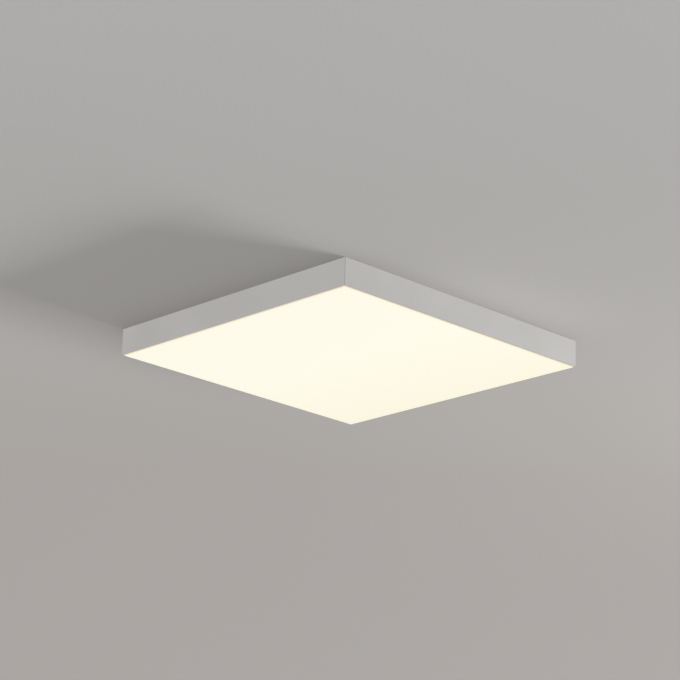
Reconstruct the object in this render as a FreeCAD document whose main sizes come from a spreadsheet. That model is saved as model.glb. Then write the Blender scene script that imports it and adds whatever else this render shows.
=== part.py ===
import FreeCAD, Part
import math
import os
import re

import Sketcher
from FreeCAD import Placement, Rotation, Vector

# Square surface-mounted LED ceiling light, in millimetres.
# Origin: centre of the ceiling plane. +Z points up, so the light lies below z = 0.
# Front is -Y, right is +X. "Inset" is measured from the outer face of the frame towards the middle.

SIZES = [
    # the frame and what shows
    ("frame_side", 600, "outside length of each side"),
    ("frame_height", 50, "ceiling to the lower edge of the metal"),
    ("wall_thickness", 1.4, "outer wall of the extrusion"),
    ("rim_thickness", 1.4, "lip that carries the diffuser"),
    ("edge_radius", 0.4, "lower outer edge of the extrusion"),
    ("mitre_chamfer", 0.3, "deburred outer edge of each mitre"),
    ("plate_level", 22, "ceiling to the ledge that carries the back plate"),
    ("ledge_reach", 15, "inset of the ledge's free edge"),
    ("ledge_thickness", 1.6, "ledge of the extrusion"),
    ("slot_height", 12.4, "clear height of the corner key slot"),
    ("slot_depth", 6.5, "clear depth of the corner key slot"),
    ("slot_rib", 1.2, "walls of the corner key slot"),
    ("slot_lip", 2.6, "height of the lips that hold the corner key"),
    ("diffuser_inset", 3.5, "side of the diffuser behind the outer face"),
    ("diffuser_drop", 2, "how far the diffuser stands below the metal"),
    ("diffuser_skin", 2, "thickness of the diffuser's face"),
    ("diffuser_gap", 0.3, "play around the diffuser"),
    ("diffuser_upstand", 2.2, "width of the diffuser's standing rim"),
    ("diffuser_radius", 0.6, "lower edges of the diffuser"),
    ("flange_thickness", 1.6, "flange of the diffuser on the frame's lip"),
    # corner keys
    ("key_leg", 44, "length of each leg"),
    ("key_gap", 0.2, "play of the key in its slot"),
    ("key_lead_in", 1.5, "bevel at the end of a leg"),
    ("grub_place", 30, "screw from the corner of the key"),
    ("grub_radius", 2, "grub screw"),
    ("thread_gap", 0.05, "between a screw and its hole"),
    # reflector
    ("reflector_skin", 0.6, "thickness of the white reflector"),
    ("reflector_drop", 2.4, "back plate to reflector"),
    ("flare_top_inset", 20.5, "flared wall at the reflector's floor"),
    ("flare_foot_inset", 6, "flared wall at the reflector's foot"),
    ("foot_inset", 2.6, "free edge of the reflector's foot"),
    # back plate
    ("plate_thickness", 0.6, "steel sheet"),
    ("plate_gap", 0.6, "between the back plate and the frame"),
    ("bead_inset", 65, "ends of the pressed stiffening beads"),
    ("bead_radius", 5, "half width of a bead"),
    ("bead_height", 2, "height of a bead"),
    ("bead_draft", 30, "slope of a bead's walls in degrees"),
    # screws
    ("screw_radius", 1.5, "shank of the sheet screws"),
    ("screw_length", 6, "shank below the head"),
    ("driver_screw_length", 3.6, "shank of the driver's screws below the head"),
    ("screw_head_radius", 2.8, "pan head"),
    ("screw_head_height", 1.8, "pan head"),
    ("screw_inset", 12, "line of the back plate screws"),
    ("hole_gap", 0.2, "clearance hole around a screw"),
    # ceiling brackets
    ("bracket_pitch", 380, "between the two brackets"),
    ("bracket_width", 30, "width of a bracket"),
    ("bracket_metal", 1.5, "steel strip"),
    ("bracket_flange", 6, "depth of the long flanges"),
    ("bracket_bend", 1.2, "outer edges of the bends"),
    ("tongue_length", 14, "narrow end of the web, up to the flanges"),
    ("tab_inset", 8, "outer face of a bracket's end tab"),
    ("tab_width", 24, "width of an end tab"),
    ("tab_drop", 16.5, "depth of an end tab"),
    ("tab_corner", 3, "corner radius of an end tab"),
    ("window_width", 17.5, "catch window"),
    ("window_top", 6.8, "ceiling to the window's upper edge"),
    ("window_foot", 12.6, "ceiling to the window's lower edge"),
    ("fixing_pitch", 300, "between the ceiling screws of one bracket"),
    ("fixing_slot_width", 5, "slot for a ceiling screw"),
    ("fixing_slot_length", 16, "slot for a ceiling screw, end to end"),
    # spring clips
    ("clip_width", 16, "width of a spring clip"),
    ("clip_metal", 0.5, "spring steel"),
    ("clip_gap", 0.3, "between the clip and the bracket's window"),
    ("clip_foot_inset", 18, "free end of the clip's foot"),
    ("clip_heel_inset", 4.3, "heel of the clip"),
    ("clip_reach", 1.3, "how far the catch stands inside the tab"),
    ("clip_bend", 1, "bend radius"),
    ("clip_tip_level", 4.2, "ceiling to the clip's tip"),
    ("clip_tip_inset", 5.6, "inset of the clip's tip"),
    # light sources
    ("led_inset", 76, "outer rows of light sources"),
    ("led_count", 5, "light sources along a strip, and strips"),
    ("strip_width", 12, "circuit strip"),
    ("strip_thickness", 1, "circuit strip"),
    ("strip_end", 30, "last light source to the strip's end"),
    ("tape_thickness", 0.2, "bonding tape"),
    ("tape_margin", 1, "tape behind the strip's edge"),
    ("bus_gap", 2, "strip end to the cross strip"),
    ("link_length", 10, "connector over the joint of two strips"),
    ("link_width", 6, "connector"),
    ("link_height", 1, "connector"),
    ("led_length", 3.5, "light source"),
    ("led_width", 2.8, "light source"),
    ("led_height", 0.8, "light source"),
    ("lens_radius", 8, "spreading lens"),
    ("lens_edge", 1.2, "straight edge of the lens"),
    ("lens_slope", 3.2, "sloping side of the lens"),
    ("lens_hole_gap", 0.6, "reflector hole around a lens"),
    # driver
    ("driver_x", 90, "middle of the driver"),
    ("driver_row_gap", 27, "middle of the driver, its leads and the terminal in front of a row of lights"),
    ("driver_length", 150, "housing"),
    ("driver_width", 40, "housing"),
    ("driver_height", 18, "housing"),
    ("driver_wall", 1.5, "housing"),
    ("driver_corner", 3, "upright edges of the housing"),
    ("driver_edge", 1, "upper edges of the cover"),
    ("driver_fit", 0.2, "cover over the base's rim"),
    ("driver_rim_wall", 1.2, "standing rim of the base"),
    ("driver_rim_height", 3, "standing rim of the base"),
    ("ear_length", 10, "fixing ear"),
    ("ear_width", 12, "fixing ear"),
    ("ear_offset", 12, "fixing ear beside the driver's middle line"),
    ("board_margin", 2, "circuit board behind the driver's outer face"),
    ("board_thickness", 1.6, "circuit board"),
    ("part_height", 10, "tallest parts on the board"),
    ("core_length", 20, "transformer core"),
    ("core_width", 22, "transformer core"),
    ("core_wall", 5, "outer legs of the core"),
    ("winding_radius", 8.5, "transformer winding"),
    ("capacitor_radius", 4.8, "storage capacitor"),
    ("capacitor_length", 18, "storage capacitor"),
    ("choke_reach", 7, "middle of the filter choke to its sides"),
    # supply terminal
    ("terminal_x", -32, "middle of the supply terminal"),
    ("terminal_depth", 22, "along the wires"),
    ("terminal_height", 13, "supply terminal"),
    ("terminal_wall", 2, "roof and floor of the terminal"),
    ("terminal_end", 1.5, "wall beyond the outer poles"),
    ("terminal_bevel", 0.8, "upper edges of the terminal"),
    ("pole_pitch", 10, "between neighbouring poles"),
    ("pole_count", 3, "live, neutral, earth"),
    ("chamber_length", 7.6, "spring chamber along the wires"),
    ("chamber_width", 7.4, "spring chamber"),
    ("entry_radius", 2.1, "hole for a supply wire"),
    ("entry_funnel", 0.7, "lead-in of a supply hole"),
    ("button_length", 6, "push button along the wires"),
    ("button_width", 5, "push button"),
    ("button_proud", 2, "button above the terminal"),
    ("button_gap", 0.25, "play around a button"),
    ("button_shoulder", 1.6, "height of the shoulder that keeps the button in"),
    ("button_stem", 1.2, "stem below the shoulder"),
    ("contact_metal", 0.5, "contact strip"),
    ("contact_width", 5, "contact strip"),
    ("peg_length", 3, "peg under the terminal"),
    ("peg_width", 5, "peg under the terminal"),
    ("peg_offset", 10, "peg beside the terminal's middle line"),
    ("peg_depth", 1.6, "peg below the terminal"),
    # leads
    ("lead_level", 5.2, "middle of a lead above the back plate"),
    ("mains_lead_radius", 1, "insulated lead"),
    ("output_lead_radius", 0.8, "insulated lead"),
    ("lead_gap", 0.2, "hole around a lead"),
    ("mains_pitch", 5, "between the mains leads at the driver"),
    ("output_pitch", 1.8, "between the output leads"),
    ("lead_bend", 5, "bend over the bush"),
    ("solder_length", 0.3, "lead end below the cross strip"),
    ("bush_hole_radius", 4, "hole in the back plate"),
    ("bush_head_radius", 5.6, "head of the bush"),
    ("bush_head_height", 1.2, "head of the bush"),
    ("bush_bore_radius", 2.1, "passage for both output leads"),
    ("bush_squeeze", 0.05, "bush in its hole"),
    ("saddle_place", 47, "cable saddle to the cross strip"),
    ("saddle_length", 8, "cable saddle"),
    ("saddle_base_width", 14, "cable saddle"),
    ("saddle_base_height", 1.2, "cable saddle"),
    ("saddle_wall", 1.4, "cable saddle"),
    ("saddle_slit", 1.2, "mouth on top of the saddle"),
    # protective earth
    ("earth_x", -8, "earth screw"),
    ("earth_row_gap", 25, "earth screw behind a row of lights"),
    ("earth_radius", 2, "shank of the earth screw"),
    ("earth_length", 4.2, "shank below the head"),
    ("earth_head_radius", 3.6, "pan head"),
    ("earth_head_height", 2.2, "pan head"),
    ("washer_radius", 4.2, "serrated washer"),
    ("washer_thickness", 0.6, "serrated washer"),
    ("ring_radius", 4.4, "ring terminal"),
    ("ring_thickness", 0.8, "ring terminal"),
    ("barrel_radius", 1.8, "crimp barrel"),
    ("barrel_length", 7, "crimp barrel"),
    ("barrel_place", 5.5, "earth screw to the barrel"),
]
NAMES = [name for name, value, note in SIZES]
# Lengths and places that follow from the sizes
DERIVED = {
    "bead_length": "frame_side - 2 * bead_inset",
    "led_span": "frame_side - 2 * led_inset",
    "led_pitch": "led_span / (led_count - 1)",
    "driver_y": "led_pitch - driver_row_gap",
    "earth_y": "led_pitch + earth_row_gap",
    "strip_half": "led_span / 2 + strip_end",
    "bus_x": "strip_half + bus_gap + strip_width / 2",
    "saddle_x": "bus_x - saddle_place",
}
# Small round things that repeat get few sides
SCREW_SIDES = 8
LENS_SIDES = 12
WORD = re.compile(r"[a-z][a-z0-9_]*")

doc = FreeCAD.newDocument("ceiling_light")
sheet = doc.addObject("Spreadsheet::Sheet", "Sizes")
for row, (alias, value, note) in enumerate(SIZES, start=1):
    sheet.set(f"A{row}", alias)
    sheet.set(f"B{row}", str(value))
    sheet.set(f"C{row}", note)
    sheet.setAlias(f"B{row}", alias)
doc.recompute()

parts = []


# Formulas

def bound(text):
    """A formula in the names of sizes and derived lengths, as an expression of the document."""
    def in_sheet(found):
        word = found.group()
        if word in DERIVED:
            return "(" + bound(DERIVED[word]) + ")"
        return "Sizes." + word if word in NAMES else word

    return WORD.sub(in_sheet, text)


def size(text):
    """The number that such a formula gives now."""
    return float(sheet.evalExpression(bound(text)))


# Places that several pieces share
HALF = "frame_side / 2"
DIFFUSER_FACE = "-(frame_height + diffuser_drop)"
RIM_TOP = "-(frame_height - rim_thickness)"
FLANGE_TOP = "-(frame_height - rim_thickness - flange_thickness)"
SLOT_TOP = "-(plate_level + ledge_thickness)"
SLOT_FLOOR = "-(plate_level + ledge_thickness + slot_height)"
SLOT_MIDDLE = "-(plate_level + ledge_thickness + slot_height / 2)"
PLATE_FOOT = "-plate_level"
PLATE_TOP = "-(plate_level - plate_thickness)"
STRIP_BACK = "-(plate_level + tape_thickness)"
STRIP_FACE = "-(plate_level + tape_thickness + strip_thickness)"
LED_FACE = "-(plate_level + tape_thickness + strip_thickness + led_height)"
FLOOR_TOP = "-(plate_level + reflector_drop)"
LEAD_LEVEL = "-(plate_level - plate_thickness - lead_level)"
FIRST_LED = "-led_span / 2"
IN_ROWS = [("Y_Axis", "led_count", "led_span")]
BOTH_WAYS = [("X_Axis", "led_count", "led_span"), ("Y_Axis", "led_count", "led_span")]
DRIVER_LEFT = "(driver_x - driver_length / 2)"
DRIVER_RIGHT = "(driver_x + driver_length / 2)"
DRIVER_SCREWS = [
    (f"{DRIVER_LEFT} - ear_length / 2", "driver_y - ear_offset"),
    (f"{DRIVER_RIGHT} + ear_length / 2", "driver_y + ear_offset"),
]
COVER_FOOT = "-(plate_level - plate_thickness - driver_wall)"
BOARD_FOOT = "-(plate_level - plate_thickness - driver_wall - driver_rim_height)"
BOARD_TOP = "-(plate_level - plate_thickness - driver_wall - driver_rim_height - board_thickness)"
TERMINAL_TOP = "-(plate_level - plate_thickness - terminal_height)"
CHAMBER_TOP = "-(plate_level - plate_thickness - terminal_height + terminal_wall)"
CHAMBER_FLOOR = "-(plate_level - plate_thickness - terminal_wall)"
FIRST_POLE = "driver_y - pole_pitch * (pole_count - 1) / 2"
EARTH_POLE = "driver_y + pole_pitch * (pole_count - 1) / 2"
POLES = [("Y_Axis", "pole_count", "pole_pitch * (pole_count - 1)")]
RING_TOP = "-(plate_level - plate_thickness - ring_thickness)"
BARREL_LEVEL = "-(plate_level - plate_thickness - barrel_radius)"


# Bodies, sketches and features

def new_body(name):
    made = doc.addObject("PartDesign::Body", name)
    made.Label = name
    parts.append(made)
    return made


def datum(body, role):
    return next(item for item in body.Origin.OriginFeatures if item.Role == role)


def new_sketch(body, plane="XY_Plane", level="0"):
    """A sketch on one of the body's own planes, moved along the plane's normal by a formula."""
    made = body.newObject("Sketcher::SketchObject", body.Label + "_sketch")
    made.AttachmentSupport = [(datum(body, plane), "")]
    made.MapMode = "FlatFace"
    if level != "0":
        made.setExpression(".AttachmentOffset.Base.z", bound(level))
    return made


def hold(sketch, kind, formula, *where):
    """A dimension of a sketch that follows a formula."""
    at = sketch.addConstraint(Sketcher.Constraint(kind, *where, size(formula)))
    sketch.setExpression(f"Constraints[{at}]", bound(formula))


def hold_point(sketch, element, end, x, y):
    """A point of a sketch at two formulas; "0" puts it on the axis."""
    if x == "0":
        sketch.addConstraint(Sketcher.Constraint("PointOnObject", element, end, -2))
    else:
        hold(sketch, "DistanceX", x, -1, 1, element, end)
    if y == "0":
        sketch.addConstraint(Sketcher.Constraint("PointOnObject", element, end, -1))
    else:
        hold(sketch, "DistanceY", y, -1, 1, element, end)


def outline(sketch, corners):
    """A closed outline of straight lines through corners given as formulas."""
    places = [Vector(size(x), size(y), 0) for x, y in corners]
    first = sketch.GeometryCount
    count = len(places)
    for here, there in zip(places, places[1:] + places[:1]):
        sketch.addGeometry(Part.LineSegment(here, there))
    for index in range(count):
        following = first + (index + 1) % count
        sketch.addConstraint(Sketcher.Constraint("Coincident", first + index, 2, following, 1))
    for index, (x, y) in enumerate(corners):
        hold_point(sketch, first + index, 1, x, y)


def rectangle(sketch, left, low, right, high):
    first = sketch.GeometryCount
    corners = [(left, low), (right, low), (right, high), (left, high)]
    places = [Vector(size(x), size(y), 0) for x, y in corners]
    for here, there in zip(places, places[1:] + places[:1]):
        sketch.addGeometry(Part.LineSegment(here, there))
    for index in range(4):
        following = first + (index + 1) % 4
        sketch.addConstraint(Sketcher.Constraint("Coincident", first + index, 2, following, 1))
    for index, kind in enumerate(["Horizontal", "Vertical", "Horizontal", "Vertical"]):
        sketch.addConstraint(Sketcher.Constraint(kind, first + index))
    hold_point(sketch, first, 1, left, low)
    hold_point(sketch, first + 2, 1, right, high)


def centred_rectangle(sketch, x, y, length, width):
    along = f"({length}) / 2"
    across = f"({width}) / 2"
    rectangle(sketch, f"{x} - {along}", f"{y} - {across}", f"{x} + {along}", f"{y} + {across}")


def square_at_inset(sketch, inset):
    """A square around the middle of the light, its sides at an inset from the outer faces."""
    reach = f"(frame_side / 2 - ({inset}))"
    rectangle(sketch, "-" + reach, "-" + reach, reach, reach)


def circle(sketch, x, y, radius):
    made = sketch.addGeometry(Part.Circle(Vector(size(x), size(y), 0), Vector(0, 0, 1), size(radius)))
    hold(sketch, "Radius", radius, made)
    hold_point(sketch, made, 3, x, y)


def few_sided(sketch, x, y, radius, sides=SCREW_SIDES):
    """A regular polygon whose flat sides lie at the radius."""
    half_step = 180 / sides
    reach = f"({radius}) / cos({half_step} deg)"
    corners = []
    for index in range(sides):
        angle = half_step * (2 * index + 1)
        corners.append((f"{x} + {reach} * cos({angle} deg)", f"{y} + {reach} * sin({angle} deg)"))
    outline(sketch, corners)


def bevelled_rectangle(sketch, x, y, length, width, bevel):
    """A rectangle with cut corners."""
    along = f"({length}) / 2"
    across = f"({width}) / 2"
    corners = []
    for across_hand, order in (("-", ("-", "+")), ("+", ("+", "-"))):
        for index, hand in enumerate(order):
            on_long_side = (f"{x} {hand} ({along} - {bevel})", f"{y} {across_hand} {across}")
            on_short_side = (f"{x} {hand} {along}", f"{y} {across_hand} ({across} - {bevel})")
            pair = [on_short_side, on_long_side]
            corners += pair if index == 0 else pair[::-1]
    outline(sketch, corners)


def slot(sketch, x, y, half_span, radius):
    """A slot along the sketch's first axis, between two end centres."""
    centre = Vector(size(x), size(y), 0)
    along = Vector(size(half_span), 0, 0)
    up = Vector(0, size(radius), 0)
    quarter = math.pi / 2
    lower = sketch.addGeometry(Part.LineSegment(centre - along - up, centre + along - up))
    right_end = Part.Circle(centre + along, Vector(0, 0, 1), size(radius))
    right = sketch.addGeometry(Part.ArcOfCircle(right_end, -quarter, quarter))
    upper = sketch.addGeometry(Part.LineSegment(centre + along + up, centre - along + up))
    left_end = Part.Circle(centre - along, Vector(0, 0, 1), size(radius))
    left = sketch.addGeometry(Part.ArcOfCircle(left_end, quarter, 3 * quarter))
    for one, other in [(lower, right), (right, upper), (upper, left), (left, lower)]:
        sketch.addConstraint(Sketcher.Constraint("Tangent", one, 2, other, 1))
    hold(sketch, "Radius", radius, right)
    hold_point(sketch, left, 3, f"{x} - ({half_span})", y)
    hold_point(sketch, right, 3, f"{x} + ({half_span})", y)


def pad(body, sketch, length, down=False, both=False, taper=None):
    """Material along the sketch's normal, or against it, or half to each side."""
    made = body.newObject("PartDesign::Pad", body.Label + "_pad")
    made.Profile = sketch
    made.setExpression("Length", bound(length))
    made.Reversed = down
    made.Midplane = both
    if taper:
        made.setExpression("TaperAngle", bound(taper))
    doc.recompute()
    return made


def pocket(body, sketch, length=None, up=False, taper=None):
    """A cut against the sketch's normal, or along it; without a length it runs both ways through all."""
    before = body.Shape.Volume
    made = body.newObject("PartDesign::Pocket", body.Label + "_pocket")
    made.Profile = sketch
    if length is None:
        made.Type = "ThroughAll"
        made.Midplane = True
    else:
        made.setExpression("Length", bound(length))
        made.Reversed = up
    if taper:
        made.setExpression("TaperAngle", bound(taper))
    doc.recompute()
    if body.Shape.Volume >= before:
        raise ValueError(f"{made.Label} cuts nothing")
    return made


def loft(body, one, other, cut=False):
    """Flat sides between two sketches, as material or as a cut."""
    kind = "PartDesign::SubtractiveLoft" if cut else "PartDesign::AdditiveLoft"
    made = body.newObject(kind, body.Label + "_loft")
    made.Profile = one
    made.Sections = [other]
    made.Ruled = True
    doc.recompute()
    return made


def repeat(body, features, directions):
    """Features, or the whole body, again along axes: each direction is (axis role, count, whole length)."""
    made = body.newObject("PartDesign::MultiTransform", body.Label + "_pattern")
    if features:
        made.Originals = features
    else:
        made.TransformMode = "Whole shape"
    steps = []
    for role, count, length in directions:
        step = body.newObject("PartDesign::LinearPattern", body.Label + "_row")
        step.Direction = (datum(body, role), [""])
        step.setExpression("Occurrences", bound(count))
        step.setExpression("Length", bound(length))
        steps.append(step)
    made.Transformations = steps
    body.Tip = made
    doc.recompute()
    return made


def around(body, features, count):
    """The features again around the vertical axis."""
    made = body.newObject("PartDesign::PolarPattern", body.Label + "_pattern")
    made.Originals = features
    made.Axis = (datum(body, "Z_Axis"), [""])
    made.Occurrences = count
    body.Tip = made
    doc.recompute()
    return made


def edges_where(feature, test):
    """Names of the straight edges whose two ends pass a test."""
    found = []
    for index, edge in enumerate(feature.Shape.Edges, start=1):
        ends = [vertex.Point for vertex in edge.Vertexes]
        if len(ends) == 2 and test(*ends):
            found.append(f"Edge{index}")
    return found


def round_edges(body, radius, test):
    base = body.Tip
    made = body.newObject("PartDesign::Fillet", body.Label + "_fillet")
    made.Base = (base, edges_where(base, test))
    made.setExpression("Radius", bound(radius))
    doc.recompute()
    return made


def bevel_edges(body, depth, test):
    base = body.Tip
    made = body.newObject("PartDesign::Chamfer", body.Label + "_chamfer")
    made.Base = (base, edges_where(base, test))
    made.setExpression("Size", bound(depth))
    doc.recompute()
    return made


def near(one, other):
    return abs(one - other) < 1e-4


def upright(one, other):
    return near(one.x, other.x) and near(one.y, other.y)


def level_at(one, other, height):
    return near(one.z, height) and near(other.z, height)


def turn(body, quarters):
    """Turns a finished body by quarter turns around the middle of the light."""
    body.Placement = Placement(Vector(0, 0, 0), Rotation(Vector(0, 0, 1), 90 * quarters))


def shaped(name, shape):
    """A piece whose shape is worked out directly."""
    made = doc.addObject("Part::Feature", name)
    made.Label = name
    made.Shape = shape
    parts.append(made)
    return made


def block(name, x, y, z, length, width, height):
    """A plain block, placed by the formulas of its lowest corner."""
    made = doc.addObject("Part::Box", name)
    made.Label = name
    for key, formula in [("Length", length), ("Width", width), ("Height", height)]:
        made.setExpression(key, bound(formula))
    for key, formula in [("x", x), ("y", y), ("z", z)]:
        made.setExpression(f"Placement.Base.{key}", bound(formula))
    parts.append(made)
    return made


# Frame: four mitred lengths of one extrusion, joined by keys

def frame_side(name, quarters):
    """The front length, turned to its place. The section shows wall, lip, key slot and ledge."""
    body = new_body(name)
    face = f"-{HALF}"
    wall = f"{face} + wall_thickness"
    slot_in = f"{face} + wall_thickness + slot_depth"
    slot_out = f"{face} + wall_thickness + slot_depth + slot_rib"
    rim_edge = f"{face} + diffuser_inset - diffuser_gap"
    ledge_edge = f"{face} + ledge_reach"
    section = new_sketch(body, "YZ_Plane")
    outline(section, [
        (face, "0"),
        (face, "-frame_height"),
        (rim_edge, "-frame_height"),
        (rim_edge, RIM_TOP),
        (wall, RIM_TOP),
        (wall, SLOT_FLOOR + " - slot_rib"),
        (slot_out, SLOT_FLOOR + " - slot_rib"),
        (slot_out, SLOT_FLOOR + " + slot_lip"),
        (slot_in, SLOT_FLOOR + " + slot_lip"),
        (slot_in, SLOT_FLOOR),
        (wall, SLOT_FLOOR),
        (wall, SLOT_TOP),
        (slot_in, SLOT_TOP),
        (slot_in, SLOT_TOP + " - slot_lip"),
        (slot_out, SLOT_TOP + " - slot_lip"),
        (slot_out, SLOT_TOP),
        (ledge_edge, SLOT_TOP),
        (ledge_edge, PLATE_FOOT),
        (wall, PLATE_FOOT),
        (wall, "0"),
    ])
    pad(body, section, "frame_side", both=True)
    outer = size(face)
    foot = size("-frame_height")
    round_edges(body, "edge_radius", lambda a, b: level_at(a, b, foot) and near(a.y + b.y, 2 * outer))
    mitres = new_sketch(body)
    for hand in ("", "-"):
        outline(mitres, [
            (f"{hand}({HALF} - mitre_chamfer)", face),
            (f"{hand}({HALF} - mitre_chamfer / 2)", f"{face} + mitre_chamfer / 2"),
            (f"{hand}({HALF} - ledge_reach)", ledge_edge),
            (f"{hand}{HALF}", ledge_edge),
            (f"{hand}{HALF}", face),
        ])
    pocket(body, mitres)
    holes = new_sketch(body)
    for hand in ("-", ""):
        few_sided(holes, f"{hand}bracket_pitch / 2", f"{face} + screw_inset", "screw_radius + thread_gap")
    pocket(body, holes)
    turn(body, quarters)


def corner_key(name, quarters):
    """The key of the front left corner, turned to its place."""
    body = new_body(name)
    heel = f"-{HALF} + wall_thickness + key_gap"
    inner = f"-{HALF} + wall_thickness + slot_depth - key_gap"
    tip = f"-{HALF} + wall_thickness + key_gap + key_leg"
    legs = new_sketch(body, level=SLOT_FLOOR + " + key_gap")
    outline(legs, [(heel, heel), (tip, heel), (tip, inner), (inner, inner), (inner, tip), (heel, tip)])
    pad(body, legs, "slot_height - 2 * key_gap")
    end = size(tip)
    bevel_edges(body, "key_lead_in", lambda a, b: upright(a, b) and near(max(a.x, a.y), end))
    grub = f"{heel} + grub_place"
    for plane in ("XZ_Plane", "YZ_Plane"):
        hole = new_sketch(body, plane)
        few_sided(hole, grub, SLOT_MIDDLE, "grub_radius + thread_gap")
        pocket(body, hole)
    turn(body, quarters)


def corner_grub_screws():
    """Two screws in each key, pressed against the inside of the frame's wall."""
    body = new_body("corner_grub_screws")
    screws = new_sketch(body, "XZ_Plane", f"{HALF} - wall_thickness")
    grub = f"({HALF} - wall_thickness - key_gap - grub_place)"
    for hand in ("-", ""):
        few_sided(screws, hand + grub, SLOT_MIDDLE, "grub_radius")
    first = pad(body, screws, "slot_depth", down=True)
    around(body, [first], 4)


# Diffuser and reflector

def diffuser():
    """A moulded tray: its face stands through the frame and its flange lies on the frame's lip."""
    body = new_body("diffuser")
    face = new_sketch(body, level=DIFFUSER_FACE)
    square_at_inset(face, "diffuser_inset")
    pad(body, face, "diffuser_drop + rim_thickness + flange_thickness")
    flange = new_sketch(body, level=RIM_TOP)
    square_at_inset(flange, "wall_thickness + diffuser_gap")
    pad(body, flange, "flange_thickness")
    hollow = new_sketch(body, level=FLANGE_TOP)
    square_at_inset(hollow, "diffuser_inset + diffuser_upstand")
    pocket(body, hollow, "diffuser_drop + rim_thickness + flange_thickness - diffuser_skin")
    foot = size(DIFFUSER_FACE)
    round_edges(body, "diffuser_radius", lambda a, b: level_at(a, b, foot))


def reflector_pan():
    """A thin white pan with flared walls, a foot on the diffuser and a hole for each lens."""
    body = new_body("reflector_pan")
    foot_top = FLANGE_TOP + " + reflector_skin"
    top = new_sketch(body, level=FLOOR_TOP)
    square_at_inset(top, "flare_top_inset")
    bottom = new_sketch(body, level=foot_top)
    square_at_inset(bottom, "flare_foot_inset")
    loft(body, top, bottom)
    foot = new_sketch(body, level=FLANGE_TOP)
    square_at_inset(foot, "foot_inset")
    pad(body, foot, "reflector_skin")
    ceiling = new_sketch(body, level=FLOOR_TOP + " - reflector_skin")
    square_at_inset(ceiling, "flare_top_inset + reflector_skin")
    mouth = new_sketch(body, level=FLANGE_TOP)
    square_at_inset(mouth, "flare_foot_inset + reflector_skin")
    loft(body, ceiling, mouth, cut=True)
    hole = new_sketch(body)
    few_sided(hole, FIRST_LED, FIRST_LED, "lens_radius + lens_hole_gap", LENS_SIDES)
    first = pocket(body, hole)
    repeat(body, [first], BOTH_WAYS)


# Back plate and its screws

def back_plate():
    """Steel sheet on the frame's ledge, with a pressed bead between each two rows of light sources."""
    body = new_body("back_plate")
    blank = new_sketch(body, level=PLATE_FOOT)
    square_at_inset(blank, "wall_thickness + plate_gap")
    pad(body, blank, "plate_thickness")
    first_bead = FIRST_LED + " + led_pitch / 2"
    crown = new_sketch(body, level=PLATE_TOP)
    bevelled_rectangle(crown, "0", first_bead, "bead_length", "2 * bead_radius", "bead_radius / 2")
    bead = pad(body, crown, "bead_height", taper="-bead_draft")
    hollow = new_sketch(body, level=PLATE_FOOT)
    bevelled_rectangle(hollow, "0", first_bead, "bead_length", "2 * bead_radius", "bead_radius / 2")
    cavity = pocket(body, hollow, "bead_height", up=True, taper="-bead_draft")
    repeat(body, [bead, cavity], [("Y_Axis", "led_count - 1", "led_span - led_pitch")])
    edge = new_sketch(body)
    for hand in ("-", ""):
        few_sided(edge, f"{hand}bracket_pitch / 2", f"-({HALF} - screw_inset)", "screw_radius + hole_gap")
    around(body, [pocket(body, edge)], 4)
    inner = new_sketch(body)
    few_sided(inner, "bus_x", "driver_y", "bush_hole_radius", LENS_SIDES)
    few_sided(inner, "earth_x", "earth_y", "earth_radius + thread_gap")
    for x, y in DRIVER_SCREWS:
        few_sided(inner, x, y, "screw_radius + thread_gap")
    hole_length = "peg_length + 2 * hole_gap"
    hole_width = "peg_width + 2 * hole_gap"
    for hand in ("-", "+"):
        centred_rectangle(inner, "terminal_x", f"(driver_y {hand} peg_offset)", hole_length, hole_width)
    pocket(body, inner)


def screw_at(body, places, under_head, shank_radius, shank_length, head_radius, head_height):
    """Pan head screws pointing down, their heads resting at one level."""
    heads = new_sketch(body, level=under_head)
    shanks = new_sketch(body, level=under_head)
    for x, y in places:
        few_sided(heads, x, y, head_radius, LENS_SIDES)
        few_sided(shanks, x, y, shank_radius)
    return [pad(body, heads, head_height), pad(body, shanks, shank_length, down=True)]


def back_plate_screws():
    """Two screws on each side: those at the front and back also hold the spring clips."""
    body = new_body("back_plate_screws")
    head = ["screw_radius", "screw_length", "screw_head_radius", "screw_head_height"]
    row = f"({HALF} - screw_inset)"
    ends = ("-", "")
    through_clips = [(f"{hand}bracket_pitch / 2", side + row) for hand in ends for side in ends]
    screw_at(body, through_clips, PLATE_TOP + " + clip_metal", *head)
    on_plate = [(side + row, f"{hand}bracket_pitch / 2") for hand in ends for side in ends]
    screw_at(body, on_plate, PLATE_TOP, *head)


# Ceiling brackets and the spring clips that hold the light to them

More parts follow.
